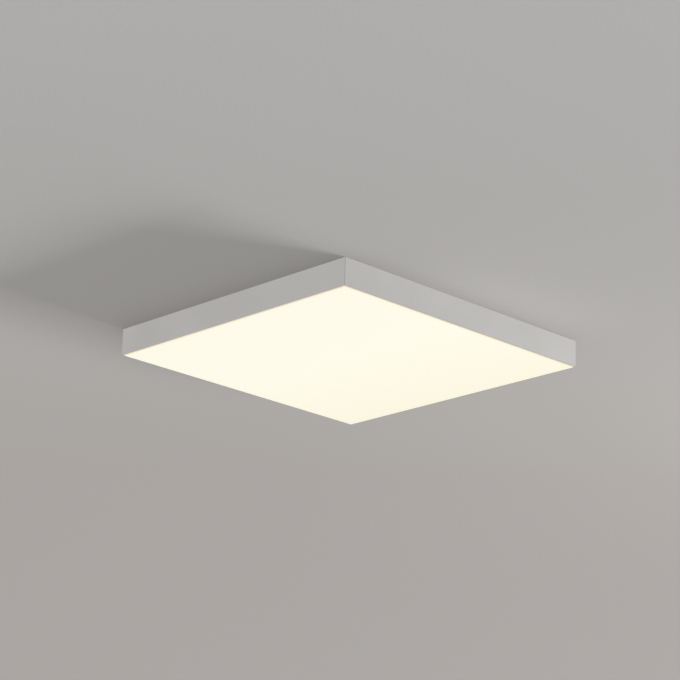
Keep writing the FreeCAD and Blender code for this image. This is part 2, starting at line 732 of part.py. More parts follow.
def bracket(name, hand):
    """A steel channel with a slot for each ceiling screw and a windowed tab at each end."""
    body = new_body(name)
    x = f"{hand}bracket_pitch / 2"
    end = f"({HALF} - tab_inset)"
    left, right = f"{x} - tab_width / 2", f"{x} + tab_width / 2"
    outer_left, outer_right = f"{x} - bracket_width / 2", f"{x} + bracket_width / 2"
    shoulder = f"({end} - tongue_length)"
    web = new_sketch(body)
    front = [(left, "-" + end), (right, "-" + end), (right, "-" + shoulder), (outer_right, "-" + shoulder)]
    back = [(outer_right, shoulder), (right, shoulder), (right, end), (left, end)]
    sides = [(left, shoulder), (outer_left, shoulder), (outer_left, "-" + shoulder), (left, "-" + shoulder)]
    outline(web, front + back + sides)
    pad(body, web, "bracket_metal", down=True)
    flanges = new_sketch(body)
    rectangle(flanges, outer_left, "-" + shoulder, outer_left + " + bracket_metal", shoulder)
    rectangle(flanges, outer_right + " - bracket_metal", "-" + shoulder, outer_right, shoulder)
    pad(body, flanges, "bracket_flange", down=True)
    tabs = new_sketch(body)
    rectangle(tabs, left, "-" + end, right, f"-({end} - bracket_metal)")
    rectangle(tabs, left, f"{end} - bracket_metal", right, end)
    pad(body, tabs, "tab_drop", down=True)
    windows = new_sketch(body, "XZ_Plane")
    window_middle = "-(window_top + window_foot) / 2"
    centred_rectangle(windows, x, window_middle, "window_width", "window_foot - window_top")
    pocket(body, windows)
    fixings = new_sketch(body)
    for side in ("-", ""):
        half_span = "(fixing_slot_length - fixing_slot_width) / 2"
        slot(fixings, x, f"{side}fixing_pitch / 2", half_span, "fixing_slot_width / 2")
    pocket(body, fixings)
    reach = size(end)
    foot = -size("tab_drop")
    side = size("bracket_width") / 2
    middle = size(x)
    bevel_edges(body, "tab_corner", lambda a, b: near(a.z, foot) and near(b.z, foot) and near(a.x, b.x))

    def outer_bend(a, b):
        across = near(abs(a.y), reach) and near(a.y, b.y)
        along = near(abs(a.x - middle), side) and near(a.x, b.x)
        return level_at(a, b, 0) and (across or along)

    round_edges(body, "bracket_bend", outer_bend)


def rounded_strip(points, radius, metal):
    """A bent strip, as a face to the right of the path through the points, whose bends have one radius."""
    edges = []
    start = points[0]
    for corner, after in zip(points[1:], points[2:]):
        back = (start - corner).normalize()
        ahead = (after - corner).normalize()
        half_turn = (math.pi - back.getAngle(ahead)) / 2
        reach = radius * math.tan(half_turn)
        bisector = (back + ahead).normalize()
        bend_in = corner + back * reach
        bend_out = corner + ahead * reach
        centre = corner + bisector * (radius / math.cos(half_turn))
        bend_middle = centre - bisector * radius
        edges.append(Part.LineSegment(start, bend_in).toShape())
        edges.append(Part.Arc(bend_in, bend_middle, bend_out).toShape())
        start = bend_out
    edges.append(Part.LineSegment(start, points[-1]).toShape())
    return Part.Wire(edges).makeOffset2D(metal, 0, True, True)


def spring_clip(name, hand, quarters):
    """A leaf that stands on the back plate and catches in the window of the bracket's end tab."""
    metal = size("clip_metal")
    floor = size(PLATE_TOP)
    front = -size(HALF)
    sill = -size("window_foot - clip_gap - clip_metal")
    profile = [
        (size("clip_foot_inset"), floor),
        (size("clip_heel_inset"), floor),
        (size("tab_inset - clip_gap - clip_metal"), sill),
        (size("tab_inset + clip_reach"), sill + metal * 2),
        (size("clip_tip_inset"), -size("clip_tip_level")),
    ]
    middle = size(f"{hand}bracket_pitch / 2")
    width = size("clip_width")
    points = [Vector(middle - width / 2, front + inset, z) for inset, z in profile]
    leaf = rounded_strip(points, size("clip_bend"), metal).extrude(Vector(width, 0, 0))
    foot = Vector(middle, front + size("screw_inset"), floor - metal)
    screw_hole = Part.makeCylinder(size("screw_radius + hole_gap"), 3 * metal, foot)
    made = shaped(name, leaf.cut(screw_hole))
    made.Placement = Placement(Vector(0, 0, 0), Rotation(Vector(0, 0, 1), 90 * quarters))


# Light sources

def led_strips():
    for row in range(int(size("led_count"))):
        block(
            f"led_strip_{row + 1}",
            "-strip_half",
            f"{FIRST_LED} + {row} * led_pitch - strip_width / 2",
            STRIP_FACE,
            "2 * strip_half",
            "strip_width",
            "strip_thickness",
        )


def strip_tape():
    """Bonding tape between the back plate and each strip."""
    body = new_body("strip_tape")
    rows = new_sketch(body, level=STRIP_BACK)
    length = "2 * (strip_half - tape_margin)"
    centred_rectangle(rows, "0", FIRST_LED, length, "strip_width - 2 * tape_margin")
    first = pad(body, rows, "tape_thickness")
    repeat(body, [first], IN_ROWS)


def bus_strip():
    """The cross strip that feeds every row, with a hole for each output lead."""
    body = new_body("bus_strip")
    board = new_sketch(body, level=STRIP_FACE)
    centred_rectangle(board, "bus_x", "0", "strip_width", "led_span + 2 * strip_width")
    for hand in ("-", "+"):
        few_sided(board, "bus_x", f"driver_y {hand} output_pitch / 2", "output_lead_radius + thread_gap")
    pad(body, board, "strip_thickness + tape_thickness")


def strip_links():
    """A flat connector from each row to the cross strip."""
    body = new_body("strip_links")
    first = new_sketch(body, level=STRIP_FACE)
    centred_rectangle(first, "strip_half + bus_gap / 2", FIRST_LED, "link_length", "link_width")
    made = pad(body, first, "link_height", down=True)
    repeat(body, [made], IN_ROWS)


def led_packages():
    body = new_body("led_packages")
    first = new_sketch(body, level=STRIP_FACE)
    centred_rectangle(first, FIRST_LED, FIRST_LED, "led_length", "led_width")
    made = pad(body, first, "led_height", down=True)
    repeat(body, [made], BOTH_WAYS)


def led_lenses():
    """A low spreading lens on each light source."""
    body = new_body("led_lenses")
    base = new_sketch(body, level=LED_FACE)
    few_sided(base, FIRST_LED, FIRST_LED, "lens_radius", LENS_SIDES)
    pad(body, base, "lens_edge + lens_slope", down=True)
    foot = size(LED_FACE + " - lens_edge - lens_slope")
    bevel_edges(body, "lens_slope", lambda a, b: level_at(a, b, foot))
    repeat(body, None, BOTH_WAYS)


# Driver

def driver_base():
    body = new_body("driver_base")
    floor = new_sketch(body, level=PLATE_TOP)
    centred_rectangle(floor, "driver_x", "driver_y", "driver_length", "driver_width")
    pad(body, floor, "driver_wall")
    round_edges(body, "driver_corner", upright)
    ears = new_sketch(body, level=PLATE_TOP)
    for inward, (x, y) in zip(("+", "-"), DRIVER_SCREWS):
        middle = f"{x} {inward} driver_corner / 2"
        centred_rectangle(ears, middle, y, "ear_length + driver_corner", "ear_width")
    pad(body, ears, "driver_wall")
    rim = new_sketch(body, level=COVER_FOOT)
    for inset in ("driver_wall + driver_fit", "driver_wall + driver_fit + driver_rim_wall"):
        centred_rectangle(
            rim, "driver_x", "driver_y", f"driver_length - 2 * ({inset})", f"driver_width - 2 * ({inset})"
        )
    pad(body, rim, "driver_rim_height")
    holes = new_sketch(body)
    for x, y in DRIVER_SCREWS:
        few_sided(holes, x, y, "screw_radius + hole_gap")
    pocket(body, holes)


def driver_cover():
    body = new_body("driver_cover")
    plan = new_sketch(body, level=COVER_FOOT)
    centred_rectangle(plan, "driver_x", "driver_y", "driver_length", "driver_width")
    pad(body, plan, "driver_height - driver_wall")
    round_edges(body, "driver_corner", upright)
    top = size(PLATE_TOP) + size("driver_height")
    bevel_edges(body, "driver_edge", lambda a, b: level_at(a, b, top))
    hollow = new_sketch(body, level=COVER_FOOT)
    centred_rectangle(
        hollow, "driver_x", "driver_y", "driver_length - 2 * driver_wall", "driver_width - 2 * driver_wall"
    )
    pocket(body, hollow, "driver_height - 2 * driver_wall", up=True)
    mains = new_sketch(body, "YZ_Plane", f"{DRIVER_LEFT} + driver_wall")
    for hand in ("-", "+"):
        few_sided(mains, f"driver_y {hand} mains_pitch / 2", LEAD_LEVEL, "mains_lead_radius + lead_gap")
    pocket(body, mains, "2 * driver_wall")
    output = new_sketch(body, "YZ_Plane", f"{DRIVER_RIGHT} - driver_wall")
    opening = "2 * (output_lead_radius + lead_gap)"
    bevelled_rectangle(output, "driver_y", LEAD_LEVEL, f"output_pitch + {opening}", opening, "lead_gap")
    pocket(body, output, "2 * driver_wall", up=True)


def driver_board():
    block(
        "driver_board",
        f"{DRIVER_LEFT} + board_margin",
        "driver_y - driver_width / 2 + board_margin",
        BOARD_FOOT,
        "driver_length - 2 * board_margin",
        "driver_width - 2 * board_margin",
        "board_thickness",
    )


def driver_transformer():
    """A core with open sides, the winding showing between its outer legs."""
    body = new_body("driver_transformer")
    core = new_sketch(body, level=BOARD_TOP)
    centred_rectangle(core, "driver_x", "driver_y", "core_length", "core_width")
    centred_rectangle(core, "driver_x", "driver_y", "core_length - core_wall", "core_width - 2 * core_wall")
    pad(body, core, "part_height")
    winding = new_sketch(body, level=BOARD_TOP)
    circle(winding, "driver_x", "driver_y", "winding_radius")
    pad(body, winding, "part_height - driver_wall")


def driver_capacitor():
    """A can that lies on the board."""
    body = new_body("driver_capacitor")
    start = f"{DRIVER_LEFT} + driver_length / 6"
    can = new_sketch(body, "YZ_Plane", start)
    circle(can, "driver_y", BOARD_TOP + " + capacitor_radius", "capacitor_radius")
    pad(body, can, "capacitor_length")


def driver_choke():
    """A square core around its winding space."""
    body = new_body("driver_choke")
    base = new_sketch(body, level=BOARD_TOP)
    middle = "driver_x + driver_length / 4"
    centred_rectangle(base, middle, "driver_y", "2 * choke_reach", "2 * choke_reach")
    centred_rectangle(base, middle, "driver_y", "choke_reach", "choke_reach")
    pad(body, base, "part_height - driver_wall")


def driver_screws():
    body = new_body("driver_screws")
    head = ["screw_radius", "driver_screw_length", "screw_head_radius", "screw_head_height"]
    screw_at(body, DRIVER_SCREWS, COVER_FOOT, *head)


# Supply terminal with a push button for each pole

def terminal_block():
    body = new_body("terminal_block")
    width = "pole_pitch * pole_count + 2 * terminal_end"
    plan = new_sketch(body, level=PLATE_TOP)
    centred_rectangle(plan, "terminal_x", "driver_y", "terminal_depth", width)
    pad(body, plan, "terminal_height")
    top = size(TERMINAL_TOP)
    bevel_edges(body, "terminal_bevel", lambda a, b: level_at(a, b, top))
    pegs = new_sketch(body, level=PLATE_TOP)
    for hand in ("-", "+"):
        centred_rectangle(pegs, "terminal_x", f"(driver_y {hand} peg_offset)", "peg_length", "peg_width")
    pad(body, pegs, "peg_depth", down=True)
    pole = f"({FIRST_POLE})"
    shaft = new_sketch(body, level=TERMINAL_TOP)
    centred_rectangle(
        shaft, "terminal_x", pole, "button_length + 2 * button_gap", "button_width + 2 * button_gap"
    )
    opening = pocket(body, shaft, "terminal_wall")
    chamber = new_sketch(body, level=CHAMBER_TOP)
    centred_rectangle(chamber, "terminal_x", pole, "chamber_length", "chamber_width")
    inside = pocket(body, chamber, "terminal_height - 2 * terminal_wall")
    supply_face = "terminal_x - terminal_depth / 2"
    reach = "terminal_depth / 2 - chamber_length / 2"
    supply = new_sketch(body, "YZ_Plane", supply_face)
    few_sided(supply, FIRST_POLE, LEAD_LEVEL, "entry_radius", LENS_SIDES)
    entry = pocket(body, supply, reach, up=True)
    output = new_sketch(body, "YZ_Plane", "terminal_x + terminal_depth / 2")
    few_sided(output, FIRST_POLE, LEAD_LEVEL, "mains_lead_radius + lead_gap")
    exit_hole = pocket(body, output, reach)
    repeat(body, [opening, inside, entry, exit_hole], POLES)
    face_x = size(supply_face)
    middle = size(LEAD_LEVEL)
    near_hole = size("entry_radius + entry_funnel")

    def supply_rim(a, b):
        on_face = near(a.x, face_x) and near(b.x, face_x)
        return on_face and abs(a.z - middle) < near_hole and abs(b.z - middle) < near_hole

    bevel_edges(body, "entry_funnel", supply_rim)


def terminal_button(name, pole):
    """A button with a shoulder under the terminal's roof, so that it can't come out."""
    body = new_body(name)
    y = f"({FIRST_POLE} + {pole} * pole_pitch)"
    shoulder_top = CHAMBER_TOP + " - button_gap"
    cap = new_sketch(body, level=shoulder_top)
    centred_rectangle(cap, "terminal_x", y, "button_length", "button_width")
    pad(body, cap, "terminal_wall + button_proud + button_gap")
    shoulder = new_sketch(body, level=shoulder_top)
    centred_rectangle(
        shoulder, "terminal_x", y, "chamber_length - 2 * button_gap", "chamber_width - 2 * button_gap"
    )
    pad(body, shoulder, "button_shoulder", down=True)
    stem = new_sketch(body, level=shoulder_top + " - button_shoulder")
    centred_rectangle(stem, "terminal_x", y, "button_length / 2", "button_width")
    pad(body, stem, "button_stem", down=True)
    top = size(TERMINAL_TOP) + size("button_proud")
    bevel_edges(body, "button_gap", lambda a, b: level_at(a, b, top))


def terminal_contacts():
    """A folded strip in each chamber: a foot, an upright for the lead and a leaf under the button."""
    body = new_body("terminal_contacts")
    left = "terminal_x - chamber_length / 2 + button_gap"
    right = "terminal_x + chamber_length / 2 - button_gap"
    upright_top = LEAD_LEVEL + " - mains_lead_radius"
    leaf_top = LEAD_LEVEL
    profile = new_sketch(body, "XZ_Plane", f"-({FIRST_POLE})")
    outline(profile, [
        (left, CHAMBER_FLOOR),
        (right, CHAMBER_FLOOR),
        (right, upright_top),
        (right + " - contact_metal", upright_top),
        (right + " - contact_metal", CHAMBER_FLOOR + " + contact_metal"),
        (left + " + 2 * contact_metal", CHAMBER_FLOOR + " + contact_metal"),
        ("terminal_x", leaf_top),
        ("terminal_x - contact_metal", leaf_top),
    ])
    made = pad(body, profile, "contact_width", both=True)
    repeat(body, [made], POLES)


# Leads, held by the light all the way

def lead(name, radius, points, longest_bend):
    """A lead of straight runs and tangent arcs through points given as formulas."""
    corners = [Vector(*(size(value) for value in point)) for point in points]
    start = corners[0]
    edges = []
    bends = []
    for before, corner, after in zip(corners, corners[1:], corners[2:]):
        back = before - corner
        ahead = after - corner
        shorter = min(back.Length, ahead.Length)
        half_turn = (math.pi - back.getAngle(ahead)) / 2
        bend = min(0.45 * shorter / math.tan(half_turn), longest_bend)
        bends.append(round(bend, 1))
        back.normalize()
        ahead.normalize()
        reach = bend * math.tan(half_turn)
        centre = corner + (back + ahead).normalize() * (bend / math.cos(half_turn))
        into = corner + back * reach
        out = corner + ahead * reach
        middle = centre + (corner - centre).normalize() * bend
        edges.append(Part.LineSegment(start, into).toShape())
        edges.append(Part.Arc(into, middle, out).toShape())
        start = out
    edges.append(Part.LineSegment(start, corners[-1]).toShape())
    path = Part.Wire(edges)
    ahead = (corners[1] - corners[0]).normalize()
    side = Vector(0, 0, 1)
    turns = [Rotation(ahead, 360 * step / SCREW_SIDES) for step in range(SCREW_SIDES)]
    rim = [corners[0] + each.multVec(side * radius) for each in turns]
    tube = path.makePipeShell([Part.makePolygon(rim + rim[:1])], True, False)
    print(f"{name}: {path.Length:.1f} mm long, bend radii {bends}")
    return shaped(name, tube)


def mains_leads():
    """Live and neutral, from the terminal into the driver's end."""
    terminal_end = "terminal_x + chamber_length / 2"
    bend_start = "terminal_x + terminal_depth / 2 + mains_pitch"
    bend_end = DRIVER_LEFT + " - mains_pitch"
    driver_end = f"{DRIVER_LEFT} + driver_wall + driver_fit"
    for name, pole, hand in (("live_lead", 0, "-"), ("neutral_lead", 1, "+")):
        at_terminal = f"{FIRST_POLE} + {pole} * pole_pitch"
        at_driver = f"driver_y {hand} mains_pitch / 2"
        points = [
            (terminal_end, at_terminal, LEAD_LEVEL),
            (bend_start, at_terminal, LEAD_LEVEL),
            (bend_end, at_driver, LEAD_LEVEL),
            (driver_end, at_driver, LEAD_LEVEL),
        ]
        lead(name, size("mains_lead_radius"), points, size("driver_width"))


def output_leads():
    """From the driver's far end through the saddle, down the bush and through the cross strip."""
    driver_end = f"{DRIVER_RIGHT} - driver_wall - driver_fit"
    for name, hand in (("output_lead_positive", "+"), ("output_lead_negative", "-")):
        y = f"driver_y {hand} output_pitch / 2"
        points = [
            (driver_end, y, LEAD_LEVEL),
            ("bus_x", y, LEAD_LEVEL),
            ("bus_x", y, STRIP_FACE + " - solder_length"),
        ]
        lead(name, size("output_lead_radius"), points, size("lead_bend"))


def earth_lead():
    """From the terminal's third pole to the ring terminal on the back plate."""
    start = "terminal_x + chamber_length / 2"
    barrel_mouth = "earth_y - barrel_place - barrel_length"
    points = [
        (start, EARTH_POLE, LEAD_LEVEL),
        ("earth_x", EARTH_POLE, LEAD_LEVEL),
        ("earth_x", f"{barrel_mouth} - 2 * barrel_length / 3 - barrel_length", LEAD_LEVEL),
        ("earth_x", f"{barrel_mouth} - barrel_length / 3", BARREL_LEVEL),
        ("earth_x", f"{barrel_mouth} + barrel_length / 2", BARREL_LEVEL),
    ]
    lead("earth_lead", size("mains_lead_radius"), points, size("driver_width"))


def lead_bush():
    """A rubber bush in the back plate, around both output leads."""
    body = new_body("lead_bush")
    head = new_sketch(body, level=PLATE_TOP)
    few_sided(head, "bus_x", "driver_y", "bush_head_radius", LENS_SIDES)
    pad(body, head, "bush_head_height")
    neck = new_sketch(body, level=PLATE_TOP)
    few_sided(neck, "bus_x", "driver_y", "bush_hole_radius - bush_squeeze", LENS_SIDES)
    pad(body, neck, "plate_thickness", down=True)
    bore = new_sketch(body)
    few_sided(bore, "bus_x", "driver_y", "bush_bore_radius", LENS_SIDES)
    pocket(body, bore)


def lead_saddle():
    """A stuck-down saddle that holds both output leads above the back plate."""
    body = new_body("lead_saddle")
    base_top = PLATE_TOP + " + saddle_base_height"
    seat = f"{LEAD_LEVEL} - output_lead_radius - lead_gap"
    roof = f"{LEAD_LEVEL} + output_lead_radius + lead_gap"
    top = roof + " + saddle_wall"
    inner = "(output_pitch / 2 + output_lead_radius + lead_gap)"
    outer = "(output_pitch / 2 + output_lead_radius + lead_gap + saddle_wall)"
    base = "saddle_base_width / 2"
    slit = "saddle_slit / 2"
    section = new_sketch(body, "YZ_Plane", "saddle_x - saddle_length / 2")
    foot = [(base, PLATE_TOP), (base, base_top)]
    arm = [(outer, base_top), (outer, top), (slit, top), (slit, roof), (inner, roof), (inner, seat)]
    right = foot + arm
    corners = [(f"driver_y + {across}", height) for across, height in right]
    corners += [(f"driver_y - {across}", height) for across, height in reversed(right)]
    outline(section, corners)
    pad(body, section, "saddle_length")


# Protective earth on the back plate

def earth_ring():
    """Ring terminal: a flat ring, a neck and the crimp barrel."""
    body = new_body("earth_ring")
    flat = new_sketch(body, level=PLATE_TOP)
    few_sided(flat, "earth_x", "earth_y", "ring_radius", LENS_SIDES)
    pad(body, flat, "ring_thickness")
    neck = new_sketch(body, level=PLATE_TOP)
    mouth = "earth_y - barrel_place - barrel_length"
    rectangle(neck, "earth_x - barrel_radius", mouth, "earth_x + barrel_radius", "earth_y")
    pad(body, neck, "ring_thickness")
    barrel = new_sketch(body, "XZ_Plane", f"-({mouth})")
    few_sided(barrel, "earth_x", BARREL_LEVEL, "barrel_radius", LENS_SIDES)
    pad(body, barrel, "barrel_length", down=True)
    crimp = new_sketch(body, "XZ_Plane", f"-({mouth})")
    few_sided(crimp, "earth_x", BARREL_LEVEL, "mains_lead_radius + thread_gap")
    pocket(body, crimp, "barrel_length")
    hole = new_sketch(body)
    few_sided(hole, "earth_x", "earth_y", "earth_radius + hole_gap")
    pocket(body, hole)


def earth_washer():
    body = new_body("earth_washer")
    plan = new_sketch(body, level=RING_TOP)
    few_sided(plan, "earth_x", "earth_y", "washer_radius", LENS_SIDES)
    few_sided(plan, "earth_x", "earth_y", "earth_radius + hole_gap")
    pad(body, plan, "washer_thickness")


def earth_screw():
    body = new_body("earth_screw")
    head = ["earth_radius", "earth_length", "earth_head_radius", "earth_head_height"]
    screw_at(body, [("earth_x", "earth_y")], RING_TOP + " + washer_thickness", *head)


def build():
    for quarters, side in enumerate(["front", "right", "back", "left"]):
        frame_side(f"frame_side_{side}", quarters)
    for quarters, corner in enumerate(["front_left", "front_right", "back_right", "back_left"]):
        corner_key(f"corner_key_{corner}", quarters)
    corner_grub_screws()
    diffuser()
    reflector_pan()
    back_plate()
    back_plate_screws()
    for name, hand in (("left", "-"), ("right", "")):
        bracket(f"bracket_{name}", hand)
    spring_clip("spring_clip_front_left", "-", 0)
    spring_clip("spring_clip_front_right", "", 0)
    spring_clip("spring_clip_back_right", "-", 2)
    spring_clip("spring_clip_back_left", "", 2)
    led_strips()
    strip_tape()
    bus_strip()
    strip_links()
    led_packages()
    led_lenses()
    driver_base()
    driver_cover()
    driver_board()
    driver_transformer()
    driver_capacitor()
    driver_choke()
    driver_screws()
    terminal_block()
    for pole, name in enumerate(["live", "neutral", "earth"]):
        terminal_button(f"terminal_button_{name}", pole)
    terminal_contacts()
    mains_leads()
    output_leads()
    earth_lead()
    lead_bush()
    lead_saddle()
    earth_ring()
    earth_washer()
    earth_screw()


def write_parts():
    """Writes each piece to its own file, once every piece is whole."""
    doc.recompute()
    for item in doc.Objects:
        if "Invalid" in item.State or "Error" in item.State:
            raise ValueError(f"{item.Label} failed: {item.State}")
    for piece in parts:
        if piece.Shape.isNull() or not piece.Shape.isValid():
            raise ValueError(f"{piece.Label} has no valid shape")
    os.makedirs("parts", exist_ok=True)
    for piece in parts:
        piece.Shape.exportStep(f"parts/{piece.Label}.step")
    print(f"{len(parts)} pieces written")


build()
write_parts()
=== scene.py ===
import math

import bmesh
import bpy
from mathutils import Matrix, Vector


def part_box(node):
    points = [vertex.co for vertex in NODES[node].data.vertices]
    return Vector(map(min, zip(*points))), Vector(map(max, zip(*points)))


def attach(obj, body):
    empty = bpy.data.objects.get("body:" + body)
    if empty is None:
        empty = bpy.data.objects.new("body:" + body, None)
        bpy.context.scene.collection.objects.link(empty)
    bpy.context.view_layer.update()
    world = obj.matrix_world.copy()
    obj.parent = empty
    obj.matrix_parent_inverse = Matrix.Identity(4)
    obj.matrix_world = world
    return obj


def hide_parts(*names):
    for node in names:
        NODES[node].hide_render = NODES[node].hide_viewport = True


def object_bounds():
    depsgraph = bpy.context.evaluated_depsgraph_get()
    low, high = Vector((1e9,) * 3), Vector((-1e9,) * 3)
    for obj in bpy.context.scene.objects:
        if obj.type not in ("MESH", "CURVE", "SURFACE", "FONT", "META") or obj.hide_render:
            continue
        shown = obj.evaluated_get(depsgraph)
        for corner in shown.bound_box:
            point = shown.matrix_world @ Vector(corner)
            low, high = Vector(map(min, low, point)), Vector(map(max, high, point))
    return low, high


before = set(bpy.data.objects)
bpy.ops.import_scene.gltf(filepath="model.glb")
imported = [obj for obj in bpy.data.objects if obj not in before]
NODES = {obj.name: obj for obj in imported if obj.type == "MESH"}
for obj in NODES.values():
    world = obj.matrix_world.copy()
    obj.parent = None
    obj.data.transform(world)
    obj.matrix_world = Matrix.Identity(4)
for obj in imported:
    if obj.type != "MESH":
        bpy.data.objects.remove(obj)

CAD_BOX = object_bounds()
LAMP = "lamp_body"

# The photograph's camera, under the ceiling and looking up at the near corner
CAMERA_AZIMUTH = math.radians(46.6344)
CAMERA_PITCH = math.radians(18.2315)
CAMERA_ROLL = math.radians(2.0059)
CAMERA_DISTANCE = 4.3214
CAMERA_SIDE = -0.0165
CAMERA_DROP = 1.4336
FOCAL_PIXELS = 2429.74
PHOTO_WIDTH = 680
SENSOR_WIDTH = 36.0

# Colours as sRGB bytes
FRAME_COLOUR = (202, 200, 198)
DIFFUSER_COLOUR = (200, 197, 184)
LIVE_BROWN = (98, 52, 28)
NEUTRAL_BLUE = (28, 84, 172)
FERRITE = (34, 34, 37)

# Painted light and shade on the ceiling, paler nearer the camera and darker and warmer further away:
# distance beyond the lamp along the view, and the colour there
CEILING_PAINTED_LIGHT_STOPS = (
    (-1.4, (177, 176, 175)),
    (-0.7, (172, 170, 168)),
    (0.2, (172, 169, 166)),
    (1.0, (168, 163, 160)),
)
CEILING_HALF_WIDTH = 12.0
CEILING_GAP = 0.0006

# Faint clouds that make the painted light and shade uneven: grains to a metre, and how far they shift its
# colours along the view
CEILING_CLOUDS = 1.3
CEILING_DRIFT = 0.3

# The diffuser's light: way from the lip of the frame round the rim and inwards, and the colour there
GLOW_STOPS = (
    (0.0, (184, 156, 116)),
    (0.002, (210, 186, 148)),
    (0.0035, (239, 228, 196)),
    (0.007, (249, 245, 222)),
    (0.014, (249, 246, 228)),
)
GLOW_STRENGTH = 0.59

# The tint that the diffuser's light reaches at its back edge
WARM_END = (251, 247, 236)

# Light of the room, and the plain pale background that cameras, metal and glass see
ROOM_LIGHT = (0.66, 0.656, 0.65)
BACKGROUND = (0.72, 0.72, 0.715)

# A far low window that grazes the ceiling
WINDOW_AZIMUTH = math.radians(10.9)
WINDOW_ELEVATION = math.radians(7.5)
WINDOW_DISTANCE = 60.0
WINDOW_WIDTH = 39.0
WINDOW_HEIGHT = 4.4
WINDOW_POWER = 72000

# Soft lights: place, target, width, height and power
DOORWAY_LIGHT = ((1.0, 1.7, -0.35), (0, 0.6, 0), 0.5, 0.3, 7.2)
BOUNCE_LIGHT = ((0.36, 0.07, -0.12), (0.36, 0.07, 0), 0.05, 0.36, 0.03)
SIDE_LIGHT = ((1.0, 1.15, -0.2), (0, 0, 0), 1.3, 1.1, 5.4)
TOP_LIGHT = ((0.4, -0.5, 2.4), (0, 0, 0), 1.5, 1.5, 20.0)

# Painted shade of the hairline gap at a mitre: half width, the share of it that is fully dark, and its
# shade
MITRE_JOINT = 0.00034
MITRE_CORE = 0.6
MITRE_GAP_SHADE = 0.45

# Numbers of the colour sockets of a mix node
MIX_FIRST = 6
MIX_SECOND = 7
MIX_RESULT = 2

# Radii of softened edges
SOFT_EDGES = {
    "terminal_block": 0.0003,
    "terminal_button_live": 0.0004,
    "terminal_button_neutral": 0.0004,
    "terminal_button_earth": 0.0004,
    "driver_base": 0.0003,
    "lead_saddle": 0.0002,
}

# Softening: least turn of an edge that is rounded, segments across it, and reach of the weld
SOFT_TURN = math.radians(38)
SOFT_SEGMENTS = 2
WELD_REACH = 0.000001

# Nodes whose flat faces are made whole before softening, and the turn that still counts as flat
PLAIN_BLOCKS = ("terminal_button_live", "terminal_button_neutral", "terminal_button_earth")
FLAT_TURN = math.radians(1)

# Screws: segments round a head, rings of its crown, and turns of its rounded edge in degrees
SCREW_SEGMENTS = 40
CROWN_RINGS = 26
EDGE_TURNS = (20, 45, 70, 90)

# Head's profile as shares of its radius and height: reach and fall of the crown, fall of the edge
CROWN_REACH = 0.86
CROWN_FALL = 0.16
EDGE_FALL = 0.34

# Blunt tip of a shank, as a share of its radius
SHANK_TIP = 0.2

# Cross recess: its depth, then its arm, reach and wall as shares of the head's radius
RECESS_DEPTH = 0.0011
RECESS_ARM = 0.14
RECESS_REACH = 0.56
RECESS_WALL = 0.06

# How much shallower the recess is at the ends of its arms, as a share of its depth
RECESS_RISE = 0.55

# Radius and height of the head, and radius of the shank, in each node of screws
SCREW_SIZES = {
    "back_plate_screws": (0.0028, 0.0018, 0.0015),
    "driver_screws": (0.0028, 0.0018, 0.0015),
    "earth_screw": (0.0036, 0.0022, 0.002),
}

# Toothed washer: teeth, sheet, radius of the bore, and root of the teeth as a share of the radius
WASHER_TEETH = 12
WASHER_SHEET = 0.0004
WASHER_BORE = 0.0022
WASHER_ROOT = 0.8

# Root, both tips and root again, as shares of a tooth's turn
TOOTH_PLACES = (0.0, 0.08, 0.56, 0.64)

# Rubber bush: segments round it, height and roundness of its head, and radii of its neck and bore
BUSH_SEGMENTS = 48
QUARTER_STEPS = 5
BUSH_HEAD = 0.0012
BUSH_ROUND = 0.0005
BUSH_NECK = 0.00395
BUSH_BORE = 0.0021

# Smoothness of a lead round its skin and along its route
LEAD_ROUNDNESS = 6
LEAD_SMOOTHNESS = 16

# Stripes of the earth lead: turns along its length, how many, and where the second colour starts
STRIPE_TURNS = 3.0
STRIPE_COUNT = 2
STRIPE_START = 0.62

# Mains leads: end of the straight, then start, crossing and end of the bend, as shares of the run
MAINS_PLACES = (0.2, 0.38, 0.56, 0.74)
MAINS_LIFT = 0.0006

# Earth lead: straight share of its first run, start and end of its drop before the barrel's mouth
EARTH_STRAIGHT = 0.3
EARTH_DROP_START = 0.0117
EARTH_DROP_END = 0.0023
EARTH_BARREL_RADIUS = 0.0018

# Output leads: straight share at the driver and saddle, bow between them, and bend over the bush
OUTPUT_STRAIGHT = 0.15
OUTPUT_BOW = 0.0005
OUTPUT_BEND = 0.005


def linear(colour):
    """A colour given as sRGB bytes, as linear red, green, blue and alpha."""
    def channel(value):
        share = value / 255
        if share <= 0.04045:
            return share / 12.92
        return ((share + 0.055) / 1.055) ** 2.4
    return tuple(channel(value) for value in colour) + (1.0,)


